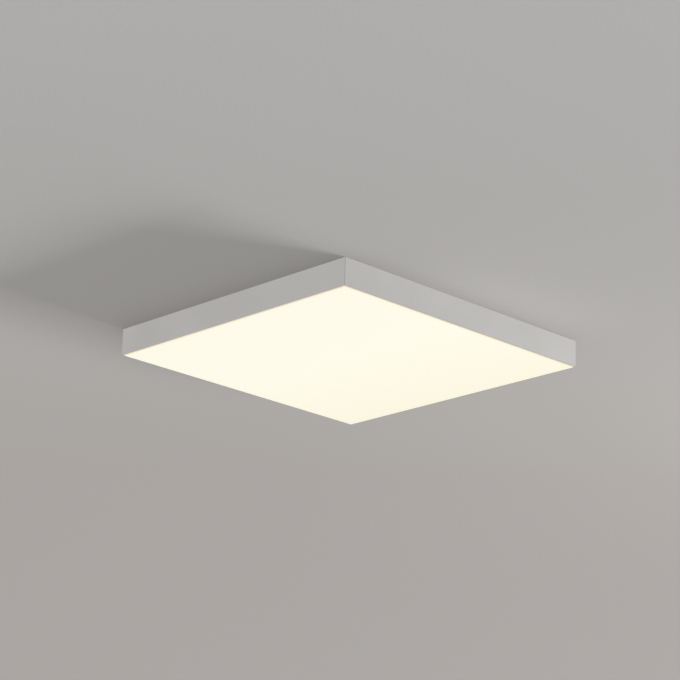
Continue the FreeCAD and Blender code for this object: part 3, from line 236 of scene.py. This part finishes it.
class Finish:
    """A procedural material and the nodes that make it."""

    def __init__(self, name, colour, roughness=0.5, metallic=0.0):
        self.material = bpy.data.materials.new(name)
        self.material.use_nodes = True
        self.tree = self.material.node_tree
        self.shader = self.tree.nodes["Principled BSDF"]
        self.colour = colour
        self.set("Base Color", linear(colour))
        self.set("Roughness", roughness)
        self.set("Metallic", metallic)
        self.place = self.node("ShaderNodeTexCoord").outputs["Object"]
        self.height = None

    def set(self, socket, value):
        self.shader.inputs[socket].default_value = value

    def node(self, kind, **settings):
        made = self.tree.nodes.new(kind)
        for name, value in settings.items():
            setattr(made, name, value)
        return made

    def link(self, source, target):
        self.tree.links.new(source, target)

    def feed(self, socket, value):
        """Gives a socket a plain value, or links it to the output of another node."""
        if isinstance(value, bpy.types.NodeSocket):
            self.link(value, socket)
        else:
            socket.default_value = value

    def calculate(self, operation, *values):
        """A sum on numbers or on the outputs of other nodes."""
        made = self.node("ShaderNodeMath", operation=operation)
        for socket, value in zip(made.inputs, values):
            self.feed(socket, value)
        return made.outputs["Value"]

    def axes(self, place):
        """The three coordinates of a place, each as the output of a node."""
        parts = self.node("ShaderNodeSeparateXYZ")
        self.link(place, parts.inputs["Vector"])
        return parts.outputs[:]

    def share(self, amount, first, last):
        """How far an amount has come from the first to the last value, from 0 to 1."""
        made = self.node("ShaderNodeMapRange", clamp=True)
        made.inputs["From Min"].default_value = first
        made.inputs["From Max"].default_value = last
        self.link(amount, made.inputs["Value"])
        return made.outputs["Result"]

    def mix(self, amount, first, second, way="MIX"):
        """A colour between two, each of them linear or the output of another node."""
        made = self.node("ShaderNodeMix", data_type="RGBA", blend_type=way)
        self.link(amount, made.inputs["Factor"])
        self.feed(made.inputs[MIX_FIRST], first)
        self.feed(made.inputs[MIX_SECOND], second)
        return made.outputs[MIX_RESULT]

    def noise(self, scale, detail=3.0, roughness=0.5, stretch=(1, 1, 1)):
        """Noise over the piece, with the given number of grains to a metre."""
        mapping = self.node("ShaderNodeMapping")
        mapping.inputs["Scale"].default_value = stretch
        texture = self.node("ShaderNodeTexNoise")
        texture.inputs["Scale"].default_value = scale
        texture.inputs["Detail"].default_value = detail
        texture.inputs["Roughness"].default_value = roughness
        self.link(self.place, mapping.inputs["Vector"])
        self.link(mapping.outputs["Vector"], texture.inputs["Vector"])
        return texture.outputs["Fac"]

    def cells(self, scale):
        """Irregular cells, each with its own shade."""
        texture = self.node("ShaderNodeTexVoronoi")
        texture.inputs["Scale"].default_value = scale
        self.link(self.place, texture.inputs["Vector"])
        grey = self.node("ShaderNodeRGBToBW")
        self.link(texture.outputs["Color"], grey.inputs["Color"])
        return grey.outputs["Val"]

    def ramp(self, amount, stops, widest=1.0, sharp=False):
        """A colour that follows an amount through stops, each a place and a colour."""
        made = self.node("ShaderNodeValToRGB")
        if sharp:
            made.color_ramp.interpolation = "CONSTANT"
        elements = made.color_ramp.elements
        for element, (place, colour) in zip(elements, (stops[0], stops[-1])):
            element.position = place / widest
            element.color = linear(colour)
        for place, colour in stops[1:-1]:
            elements.new(place / widest).color = linear(colour)
        self.link(amount, made.inputs["Fac"])
        return made.outputs["Color"]

    def blend(self, amount, levels, shades):
        """Base colour that runs from a darker to a paler shade between two levels of the amount."""
        stops = [(level, shade(self.colour, factor)) for level, factor in zip(levels, shades)]
        colour = self.ramp(amount, stops)
        self.link(colour, self.shader.inputs["Base Color"])
        return colour

    def vary_roughness(self, amount, least, most):
        scaled = self.node("ShaderNodeMapRange")
        scaled.inputs["To Min"].default_value = least
        scaled.inputs["To Max"].default_value = most
        self.link(amount, scaled.inputs["Value"])
        self.link(scaled.outputs["Result"], self.shader.inputs["Roughness"])

    def bump(self, amount, depth, strength=1.0):
        """Relief of the given depth in metres, laid over any earlier relief."""
        relief = self.node("ShaderNodeBump")
        relief.inputs["Distance"].default_value = depth
        relief.inputs["Strength"].default_value = strength
        self.link(amount, relief.inputs["Height"])
        if self.height is not None:
            self.link(self.height, relief.inputs["Normal"])
        self.height = relief.outputs["Normal"]
        self.link(self.height, self.shader.inputs["Normal"])


def shade(colour, factor):
    return tuple(min(255, value * factor) for value in colour)


def coat(name, colour, grain=900, depth=0.00004, roughness=0.42):
    """Powder coat or paint on metal: fine orange peel and faint unevenness. Gives its colour too."""
    finish = Finish(name, colour, roughness)
    coloured = finish.blend(finish.noise(9, detail=4), levels=(0.35, 0.65), shades=(0.985, 1.01))
    finish.vary_roughness(finish.noise(grain * 0.6, detail=2), roughness - 0.06, roughness + 0.08)
    finish.bump(finish.noise(grain, detail=2), depth)
    return finish, coloured


def painted(name, colour, grain, depth, roughness):
    finish, coloured = coat(name, colour, grain, depth, roughness)
    return finish.material


def moulded(name, colour, roughness=0.5, grain=2200, depth=0.00003):
    """Moulded plastic with a fine spark-eroded texture."""
    finish = Finish(name, colour, roughness)
    finish.blend(finish.noise(40, detail=4), levels=(0.3, 0.7), shades=(0.96, 1.02))
    finish.vary_roughness(finish.noise(300), roughness - 0.08, roughness + 0.1)
    finish.bump(finish.noise(grain, roughness=0.6), depth)
    return finish.material


def galvanised(name, colour):
    """Zinc-coated steel strip: spangle cells of different brightness, with rolling streaks."""
    finish = Finish(name, colour, roughness=0.38, metallic=0.9)
    spangle = finish.cells(300)
    finish.blend(spangle, levels=(0.2, 0.8), shades=(0.965, 1.02))
    finish.vary_roughness(spangle, least=0.36, most=0.44)
    finish.bump(finish.noise(60, stretch=(1, 0.08, 1)), depth=0.00005)
    finish.bump(finish.noise(1600, detail=2), depth=0.00001)
    return finish.material


def bare_metal(name, colour, roughness=0.32, stretch=(1, 0.06, 1)):
    """Bright metal with fine drawn lines."""
    finish = Finish(name, colour, roughness, metallic=1.0)
    lines = finish.noise(900, roughness=0.6, stretch=stretch)
    finish.blend(lines, levels=(0.3, 0.7), shades=(0.9, 1.05))
    finish.vary_roughness(lines, roughness - 0.08, roughness + 0.12)
    finish.bump(lines, depth=0.00001)
    return finish.material


def glossy_skin(name, colour, stretch=(1, 1, 1)):
    """The slightly uneven gloss that all insulated leads share."""
    finish = Finish(name, colour, roughness=0.34)
    finish.vary_roughness(finish.noise(500, detail=2), least=0.26, most=0.42)
    finish.bump(finish.noise(1200, detail=2, stretch=stretch), depth=0.00002)
    return finish


def insulated(name, colour):
    finish = glossy_skin(name, colour, stretch=(0.1, 1, 1))
    finish.blend(finish.noise(90), levels=(0.35, 0.65), shades=(0.9, 1.08))
    return finish.material


def striped(name, ground, stripe):
    """Insulation with two stripes along it that wind slowly round."""
    finish = glossy_skin(name, ground)
    along, around = finish.axes(finish.node("ShaderNodeTexCoord").outputs["UV"])[:2]
    turned = finish.calculate("MULTIPLY", along, STRIPE_TURNS)
    repeated = finish.calculate("MULTIPLY", around, STRIPE_COUNT)
    share = finish.calculate("FRACT", finish.calculate("ADD", repeated, turned))
    colour = finish.ramp(share, ((0.0, ground), (STRIPE_START, stripe)), sharp=True)
    finish.link(colour, finish.shader.inputs["Base Color"])
    return finish.material


def glowing_opal():
    """The lit diffuser: even light over the face, warmer at the back and warm and weak on the rim."""
    finish = Finish("diffuser_opal", DIFFUSER_COLOUR, roughness=0.46)
    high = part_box("diffuser")[1]
    x, y, z = finish.axes(finish.place)
    reach = finish.calculate("MAXIMUM", finish.calculate("ABSOLUTE", x), finish.calculate("ABSOLUTE", y))
    inset = finish.calculate("SUBTRACT", high.x, reach)
    depth = finish.calculate("SUBTRACT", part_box("frame_side_front")[0].z, z)
    way = finish.calculate("ADD", inset, depth)
    widest = GLOW_STOPS[-1][0]
    glow = finish.ramp(finish.calculate("DIVIDE", way, widest), GLOW_STOPS, widest)
    warmed = finish.mix(finish.share(y, 0.0, high.y), glow, linear(WARM_END), way="MULTIPLY")
    finish.link(warmed, finish.shader.inputs["Emission Color"])
    finish.set("Emission Strength", GLOW_STRENGTH)
    finish.bump(finish.noise(1500, detail=2), depth=0.00001)
    return finish.material


def clear_lens(name, colour):
    finish = Finish(name, colour, roughness=0.08)
    finish.set("Transmission Weight", 0.85)
    finish.set("IOR", 1.49)
    finish.blend(finish.noise(120, detail=2), levels=(0.3, 0.7), shades=(0.97, 1.02))
    finish.bump(finish.noise(700, detail=2), depth=0.00001)
    return finish.material


def coated_frame():
    """Powder-coated extrusion with painted shade along the fine gap of each mitre."""
    finish, coloured = coat("frame_white", FRAME_COLOUR)
    across, along = (finish.calculate("ABSOLUTE", axis) for axis in finish.axes(finish.place)[:2])
    off_mitre = finish.calculate("ABSOLUTE", finish.calculate("SUBTRACT", across, along))
    clear_of_gap_shade = finish.share(off_mitre, MITRE_JOINT * MITRE_CORE, MITRE_JOINT)
    # Painted shade: a dark line where the two mitred ends meet, standing for the shade in their gap
    gap_shaded = finish.mix(clear_of_gap_shade, linear(shade(FRAME_COLOUR, MITRE_GAP_SHADE)), coloured)
    finish.link(gap_shaded, finish.shader.inputs["Base Color"])
    return finish.material


def dress():
    """Gives each CAD node the finish of its material slot."""
    white = coated_frame()
    plate = painted("plate_white", (206, 207, 206), grain=700, depth=0.00003, roughness=0.4)
    steel = galvanised("galvanised_steel", (196, 199, 202))
    spring = bare_metal("spring_steel", (128, 130, 136), roughness=0.3, stretch=(0.06, 1, 0.06))
    board = painted("strip_board", (232, 234, 233), grain=1200, depth=0.00002, roughness=0.35)
    driver = moulded("driver_white", (214, 214, 210), roughness=0.52)
    finishes = {
        "diffuser": glowing_opal(),
        "reflector_pan": moulded("reflector_white", (228, 228, 224), roughness=0.55, grain=1500),
        "back_plate": plate,
        "corner_grub_screws": bare_metal("zinc_screws", (196, 200, 206), roughness=0.25),
        "strip_tape": moulded("bonding_tape", (222, 221, 216), roughness=0.7),
        "bus_strip": board,
        "strip_links": moulded("connector_white", (228, 226, 217)),
        "led_packages": moulded("phosphor", (240, 206, 92), roughness=0.35),
        "led_lenses": clear_lens("lens_clear", (236, 242, 247)),
        "driver_base": driver,
        "driver_cover": driver,
        "driver_board": moulded("circuit_board", (24, 92, 46), roughness=0.3),
        "driver_transformer": moulded("ferrite", FERRITE, roughness=0.7),
        "driver_capacitor": bare_metal("capacitor_can", (40, 46, 76), roughness=0.35),
        "driver_choke": moulded("ferrite_choke", FERRITE, roughness=0.7),
        "terminal_block": moulded("terminal_white", (216, 218, 216), roughness=0.45),
        "terminal_button_live": moulded("button_brown", LIVE_BROWN, roughness=0.42),
        "terminal_button_neutral": moulded("button_blue", NEUTRAL_BLUE, roughness=0.42),
        "terminal_button_earth": moulded("button_green", (38, 128, 52), roughness=0.42),
        "terminal_contacts": bare_metal("contact_brass", (214, 182, 104), roughness=0.3),
        "live_lead": insulated("lead_brown", LIVE_BROWN),
        "neutral_lead": insulated("lead_blue", NEUTRAL_BLUE),
        "earth_lead": striped("lead_green_yellow", ground=(38, 122, 50), stripe=(226, 200, 46)),
        "output_lead_positive": insulated("lead_red", (170, 26, 22)),
        "output_lead_negative": insulated("lead_black", (22, 22, 24)),
        "lead_bush": moulded("bush_rubber", (26, 26, 27), roughness=0.75),
        "lead_saddle": moulded("saddle_nylon", (222, 220, 208), roughness=0.4),
        "earth_ring": bare_metal("tinned_ring", (206, 206, 202)),
    }
    key = bare_metal("key_aluminium", (205, 205, 207), roughness=0.4)
    for name, node in NODES.items():
        if name in finishes:
            finish = finishes[name]
        elif name.startswith("frame_side"):
            finish = white
        elif name.startswith("corner_key"):
            finish = key
        elif name.startswith("bracket"):
            finish = steel
        elif name.startswith("spring_clip"):
            finish = spring
        elif name.startswith("led_strip"):
            finish = board
        else:
            finish = finishes["corner_grub_screws"]
        node.data.materials.clear()
        node.data.materials.append(finish)
    return finishes


def soften():
    """Small rounded edges on moulded and cut pieces, where light catches them."""
    for name, width in SOFT_EDGES.items():
        node = NODES[name]
        weld = node.modifiers.new("weld", "WELD")
        weld.merge_threshold = WELD_REACH
        if name in PLAIN_BLOCKS:
            flat = node.modifiers.new("flat_faces", "DECIMATE")
            flat.decimate_type = "DISSOLVE"
            flat.angle_limit = FLAT_TURN
        edge = node.modifiers.new("soft_edge", "BEVEL")
        edge.width = width
        edge.segments = SOFT_SEGMENTS
        edge.limit_method = "ANGLE"
        edge.angle_limit = SOFT_TURN
        edge.harden_normals = True


def centres(node, spread):
    """Middle, foot and top of each separate screw in a CAD node, in the row frame."""
    groups = []
    for vertex in NODES[node].data.vertices:
        place = vertex.co
        for group in groups:
            if math.hypot(place.x - group[0].x, place.y - group[0].y) < spread:
                group.append(place)
                break
        else:
            groups.append([place])
    found = []
    for group in groups:
        x = (min(p.x for p in group) + max(p.x for p in group)) / 2
        y = (min(p.y for p in group) + max(p.y for p in group)) / 2
        found.append((x, y, min(p.z for p in group), max(p.z for p in group)))
    return found


def recess(x, y, radius):
    """How deep the cross recess is at a place on a screw head, as a share of its full depth."""
    arm, reach, wall = RECESS_ARM * radius, RECESS_REACH * radius, RECESS_WALL * radius
    across, along = sorted((abs(x), abs(y)))
    inside = min((arm - across) / wall, (reach - along) / wall)
    cone = 1 - RECESS_RISE * along / reach
    return max(0.0, min(1.0, inside + 0.5)) * cone


def in_scene(name, data):
    """A new object in the scene that holds a mesh, curve, light or camera."""
    made = bpy.data.objects.new(name, data)
    bpy.context.scene.collection.objects.link(made)
    return made


def piece_of(mesh, name, finish):
    data = bpy.data.meshes.new(name)
    mesh.to_mesh(data)
    mesh.free()
    data.materials.append(finish)
    return in_scene(name, data)


def fit(piece, node):
    """The piece rides with the lamp and stands in for its CAD node."""
    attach(piece, LAMP)
    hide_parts(node)


def ring(mesh, x, y, reach, level, segments, sunk=None):
    """A circle of vertices round an upright axis, each lowered by what sunk gives for its place."""
    vertices = []
    for segment in range(segments):
        angle = 2 * math.pi * segment / segments
        dx, dy = reach * math.cos(angle), reach * math.sin(angle)
        fall = sunk(dx, dy) if sunk else 0.0
        vertices.append(mesh.verts.new((x + dx, y + dy, level - fall)))
    return vertices


def band(mesh, inner, outer):
    """The faces between two rings."""
    for segment, vertex in enumerate(inner):
        after = (segment + 1) % len(inner)
        mesh.faces.new((vertex, outer[segment], outer[after], inner[after]))


def head_profile():
    """Reach and level of each ring of a screw head, as shares of its radius and height."""
    rows = []
    for step in range(1, CROWN_RINGS + 1):
        share = step / CROWN_RINGS
        rows.append((share * CROWN_REACH, 1.0 - CROWN_FALL * share ** 2))
    for turn in EDGE_TURNS:
        angle = math.radians(turn)
        reach = CROWN_REACH + (1 - CROWN_REACH) * math.sin(angle)
        rows.append((reach, 1 - CROWN_FALL - EDGE_FALL * (1 - math.cos(angle))))
    return rows + [(1.0, 0.0)]


def pan_head_screw(name, place, radius, height, shank, finish):
    """A pan head screw with a cross recess, its axis upright."""
    x, y, foot, top = place
    head_foot = top - height

    def sunk(dx, dy):
        return RECESS_DEPTH * recess(dx, dy, radius)

    mesh = bmesh.new()
    rings = []
    for reach, level in head_profile():
        rings.append(ring(mesh, x, y, radius * reach, head_foot + height * level, SCREW_SEGMENTS, sunk))
    for reach, level in ((shank, head_foot), (shank, foot + shank), (SHANK_TIP * shank, foot)):
        rings.append(ring(mesh, x, y, reach, level, SCREW_SEGMENTS))
    middle = mesh.verts.new((x, y, top - RECESS_DEPTH))
    for first, second in zip(rings[0], rings[0][1:] + rings[0][:1]):
        mesh.faces.new((middle, first, second))
    for inner, outer in zip(rings, rings[1:]):
        band(mesh, inner, outer)
    mesh.faces.new(list(reversed(rings[-1])))
    screw = piece_of(mesh, name, finish)
    for face in screw.data.polygons:
        face.use_smooth = True
    return screw


def screws(finish):
    """Round heads with cross recesses over the few-sided screws of the CAD nodes."""
    for node, (radius, height, shank) in SCREW_SIZES.items():
        for number, place in enumerate(centres(node, 3 * radius), start=1):
            screw = pan_head_screw(f"{node}_{number}", place, radius, height, shank, finish)
            fit(screw, node)


def toothed_washer(finish):
    """A lock washer under the earth screw, each tooth twisted out of the plane of its ring."""
    low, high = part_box("earth_washer")
    x, y, level = ((low[axis] + high[axis]) / 2 for axis in range(3))
    radius = (high.x - low.x) / 2
    twist = (high.z - low.z - WASHER_SHEET) / 2
    profile = (
        (WASHER_ROOT * radius, 0.0),
        (radius, twist),
        (radius, -twist),
        (WASHER_ROOT * radius, 0.0),
    )
    mesh = bmesh.new()
    columns = []
    for tooth in range(WASHER_TEETH):
        for place, (reach, lift) in zip(TOOTH_PLACES, profile):
            angle = 2 * math.pi * (tooth + place) / WASHER_TEETH
            column = []
            for side in (1, -1):
                for distance, raised in ((WASHER_BORE, 0.0), (reach, lift)):
                    column.append(mesh.verts.new((
                        x + distance * math.cos(angle),
                        y + distance * math.sin(angle),
                        level + raised + side * WASHER_SHEET / 2,
                    )))
            columns.append(column)
    for column, after in zip(columns, columns[1:] + columns[:1]):
        for first, second in ((0, 1), (1, 3), (3, 2), (2, 0)):
            mesh.faces.new((column[first], column[second], after[second], after[first]))
    fit(piece_of(mesh, "earth_washer_toothed", finish), "earth_washer")


def quarter(centre, radius, start):
    """Places along a quarter circle in a profile, from an angle in degrees, turning clockwise."""
    places = []
    for step in range(QUARTER_STEPS + 1):
        angle = math.radians(start - 90 * step / QUARTER_STEPS)
        places.append((centre[0] + radius * math.cos(angle), centre[1] + radius * math.sin(angle)))
    return places


def rubber_bush(finish):
    """The bush in the back plate, turned round its bore, with rounded lips."""
    low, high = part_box("lead_bush")
    x, y = (low.x + high.x) / 2, (low.y + high.y) / 2
    rim = (high.x - low.x) / 2
    lip = high.z - BUSH_ROUND
    profile = [(BUSH_BORE, low.z)]
    profile += quarter((BUSH_BORE + BUSH_ROUND, lip), BUSH_ROUND, 180)
    profile += quarter((rim - BUSH_ROUND, lip), BUSH_ROUND, 90)
    profile += [(rim, high.z - BUSH_HEAD), (BUSH_NECK, high.z - BUSH_HEAD), (BUSH_NECK, low.z)]
    mesh = bmesh.new()
    rings = [ring(mesh, x, y, reach, level, BUSH_SEGMENTS) for reach, level in profile]
    for inner, outer in zip(rings, rings[1:] + rings[:1]):
        band(mesh, inner, outer)
    fit(piece_of(mesh, "lead_bush_round", finish), "lead_bush")


def tube(name, route, radius, finish):
    """A smooth round lead along a given route."""
    data = bpy.data.curves.new(name, "CURVE")
    data.dimensions = "3D"
    data.bevel_depth = radius
    data.bevel_resolution = LEAD_ROUNDNESS
    data.resolution_u = LEAD_SMOOTHNESS
    data.use_fill_caps = True
    line = data.splines.new("NURBS")
    line.points.add(len(route) - 1)
    for point, place in zip(line.points, route):
        point.co = (*place, 1)
    line.order_u = 3
    line.use_endpoint_u = True
    data.materials.append(finish)
    return in_scene(name, data)


def mains_route(node):
    """From the terminal to the driver in a shallow double bend, lifted a little between them."""
    low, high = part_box(node)
    radius = (high.z - low.z) / 2
    level = low.z + radius
    terminal_y, driver_y = low.y + radius, high.y - radius
    straight_end, start, crossing, end = (low.x + share * (high.x - low.x) for share in MAINS_PLACES)
    route = (
        (low.x, terminal_y, level),
        (straight_end, terminal_y, level),
        (start, terminal_y, level),
        (crossing, (terminal_y + driver_y) / 2, level + MAINS_LIFT),
        (end, driver_y, level),
        (high.x, driver_y, level),
    )
    return route, radius


def earth_route():
    """From the terminal round a bend and down into the barrel of the ring terminal."""
    low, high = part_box("earth_lead")
    ring_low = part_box("earth_ring")[0]
    mains_low, mains_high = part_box("live_lead")
    radius = (mains_high.z - mains_low.z) / 2
    level = high.z - radius
    barrel_level = ring_low.z + EARTH_BARREL_RADIUS
    x, y = high.x - radius, low.y + radius
    route = (
        (low.x, y, level),
        (low.x + EARTH_STRAIGHT * (x - low.x), y, level),
        (x, y, level),
        (x, ring_low.y - EARTH_DROP_START, level),
        (x, ring_low.y - EARTH_DROP_END, barrel_level),
        (x, high.y, barrel_level),
    )
    return route, radius


def output_route(node):
    """From the driver through the saddle, then down through the bush to the cross strip."""
    low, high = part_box(node)
    radius = (high.y - low.y) / 2
    level = high.z - radius
    x, y = high.x - radius, low.y + radius
    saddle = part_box("lead_saddle")[0].x
    reach = saddle - low.x
    route = (
        (low.x, y, level),
        (low.x + OUTPUT_STRAIGHT * reach, y, level),
        (low.x + reach / 2, y + OUTPUT_BOW, level),
        (saddle - OUTPUT_STRAIGHT * reach, y, level),
        (saddle, y, level),
        (x - OUTPUT_BEND, y, level),
        (x, y, level),
        (x, y, level - OUTPUT_BEND),
        (x, y, low.z),
    )
    return route, radius


def leads(finishes):
    """The insulated leads, each along the run of its CAD node."""
    runs = {
        "live_lead": (mains_route("live_lead"), "lead_brown"),
        "neutral_lead": (mains_route("neutral_lead"), "lead_blue"),
        "earth_lead": (earth_route(), "lead_green_yellow"),
        "output_lead_positive": (output_route("output_lead_positive"), "lead_red"),
        "output_lead_negative": (output_route("output_lead_negative"), "lead_black"),
    }
    for node, ((route, radius), slot) in runs.items():
        fit(tube(node + "_wire", route, radius, finishes[node]), node)


def view_heading():
    """Level direction in which the photograph's camera looks."""
    return Vector((-math.sin(CAMERA_AZIMUTH), math.cos(CAMERA_AZIMUTH), 0))


def mix_shaders(tree, amount, first, second):
    """The output of a shader that goes from the first to the second as the amount rises."""
    made = tree.nodes.new("ShaderNodeMixShader")
    for socket, source in zip(made.inputs, (amount, first, second)):
        tree.links.new(source, socket)
    return made.outputs["Shader"]


def ceiling():
    """The plain ceiling, which shows from below only. Its colour carries painted light and shade along the
    view.
    """
    nearest, furthest = CEILING_PAINTED_LIGHT_STOPS[0][0], CEILING_PAINTED_LIGHT_STOPS[-1][0]
    finish = Finish("ceiling_paint_and_painted_light", CEILING_PAINTED_LIGHT_STOPS[0][1], roughness=0.8)
    along = finish.node("ShaderNodeVectorMath", operation="DOT_PRODUCT")
    finish.link(finish.place, along.inputs[0])
    along.inputs[1].default_value = view_heading()
    cloud = finish.calculate("MULTIPLY", finish.noise(CEILING_CLOUDS, detail=2), CEILING_DRIFT)
    uneven = finish.calculate("ADD", along.outputs["Value"], cloud)
    way = finish.share(finish.calculate("SUBTRACT", uneven, CEILING_DRIFT / 2), nearest, furthest)
    stops = [(place - nearest, colour) for place, colour in CEILING_PAINTED_LIGHT_STOPS]
    # Painted light and shade: the colour runs from paler near the camera to darker and warmer further away
    painted_light_and_shade = finish.ramp(way, stops, furthest - nearest)
    finish.link(painted_light_and_shade, finish.shader.inputs["Base Color"])
    finish.bump(finish.noise(220), depth=0.0002, strength=0.6)
    side = finish.node("ShaderNodeNewGeometry").outputs["Backfacing"]
    clear = finish.node("ShaderNodeBsdfTransparent").outputs["BSDF"]
    one_sided = mix_shaders(finish.tree, side, finish.shader.outputs["BSDF"], clear)
    finish.link(one_sided, finish.tree.nodes["Material Output"].inputs["Surface"])
    half, level = CEILING_HALF_WIDTH, CAD_BOX[1].z + CEILING_GAP
    mesh = bmesh.new()
    corners = ((-half, -half, level), (-half, half, level), (half, half, level), (half, -half, level))
    mesh.faces.new([mesh.verts.new(corner) for corner in corners])
    plane = piece_of(mesh, "ceiling", finish.material)
    plane.visible_diffuse = False
    plane.visible_glossy = False
    plane.visible_transmission = False
    plane.visible_shadow = False
    return plane


def soft_light(name, place, target, width, height, power):
    """A rectangular light that faces a target."""
    data = bpy.data.lights.new(name, "AREA")
    data.shape = "RECTANGLE"
    data.size = width
    data.size_y = height
    data.energy = power
    light = in_scene(name, data)
    light.location = place
    light.rotation_euler = (Vector(target) - Vector(place)).to_track_quat("-Z", "Y").to_euler()
    light.visible_camera = False
    return light


def room():
    """The even light of the room, with a plain pale background."""
    world = bpy.data.worlds.new("room")
    bpy.context.scene.world = world
    world.use_nodes = True
    tree = world.node_tree
    light = tree.nodes["Background"]
    light.inputs["Color"].default_value = ROOM_LIGHT + (1,)
    seen = tree.nodes.new("ShaderNodeBackground")
    seen.inputs["Color"].default_value = BACKGROUND + (1,)
    path = tree.nodes.new("ShaderNodeLightPath")
    seen_by = path.outputs["Is Camera Ray"]
    for kind in ("Is Glossy Ray", "Is Transmission Ray"):
        either = tree.nodes.new("ShaderNodeMath")
        either.operation = "MAXIMUM"
        tree.links.new(seen_by, either.inputs[0])
        tree.links.new(path.outputs[kind], either.inputs[1])
        seen_by = either.outputs["Value"]
    both = mix_shaders(tree, seen_by, light.outputs["Background"], seen.outputs["Background"])
    tree.links.new(both, tree.nodes["World Output"].inputs["Surface"])


def lighting(plane):
    """Three lights for the ceiling only, a side light for all but the ceiling, and a top light for all."""
    window_place = (
        WINDOW_DISTANCE * math.sin(WINDOW_AZIMUTH),
        WINDOW_DISTANCE * math.cos(WINDOW_AZIMUTH),
        -WINDOW_DISTANCE * math.tan(WINDOW_ELEVATION),
    )
    ceiling_only = bpy.data.collections.new("ceiling_only")
    ceiling_only.objects.link(plane)
    for light in (
        soft_light("window_light", window_place, (0, 0, 0), WINDOW_WIDTH, WINDOW_HEIGHT, WINDOW_POWER),
        soft_light("doorway_light", *DOORWAY_LIGHT),
        soft_light("bounce_light", *BOUNCE_LIGHT),
    ):
        light.light_linking.receiver_collection = ceiling_only
    without_ceiling = bpy.data.collections.new("without_ceiling")
    without_ceiling.objects.link(plane)
    without_ceiling.collection_objects[0].light_linking.link_state = "EXCLUDE"
    side = soft_light("side_light", *SIDE_LIGHT)
    side.light_linking.receiver_collection = without_ceiling
    soft_light("top_light", *TOP_LIGHT)


def camera():
    """The camera of the photograph."""
    heading = view_heading()
    level_right = Vector((math.cos(CAMERA_AZIMUTH), math.sin(CAMERA_AZIMUTH), 0))
    forward = heading * math.cos(CAMERA_PITCH) + Vector((0, 0, math.sin(CAMERA_PITCH)))
    level_up = level_right.cross(forward)
    right = level_right * math.cos(CAMERA_ROLL) + level_up * math.sin(CAMERA_ROLL)
    up = level_up * math.cos(CAMERA_ROLL) - level_right * math.sin(CAMERA_ROLL)
    place = level_right * CAMERA_SIDE - heading * CAMERA_DISTANCE - Vector((0, 0, CAMERA_DROP))
    data = bpy.data.cameras.new("photo_camera")
    data.sensor_width = SENSOR_WIDTH
    data.lens = FOCAL_PIXELS / PHOTO_WIDTH * SENSOR_WIDTH
    seen = in_scene("photo_camera", data)
    rows = zip(right, up, -forward, place)
    seen.matrix_world = Matrix([list(row) for row in rows] + [[0, 0, 0, 1]])
    bpy.context.scene.camera = seen


node_finishes = dress()
zinc = node_finishes["corner_grub_screws"]
soften()
screws(zinc)
toothed_washer(zinc)
rubber_bush(node_finishes["lead_bush"])
leads(node_finishes)
room()
lighting(ceiling())
camera()
bpy.context.scene.view_settings.view_transform = "Standard"
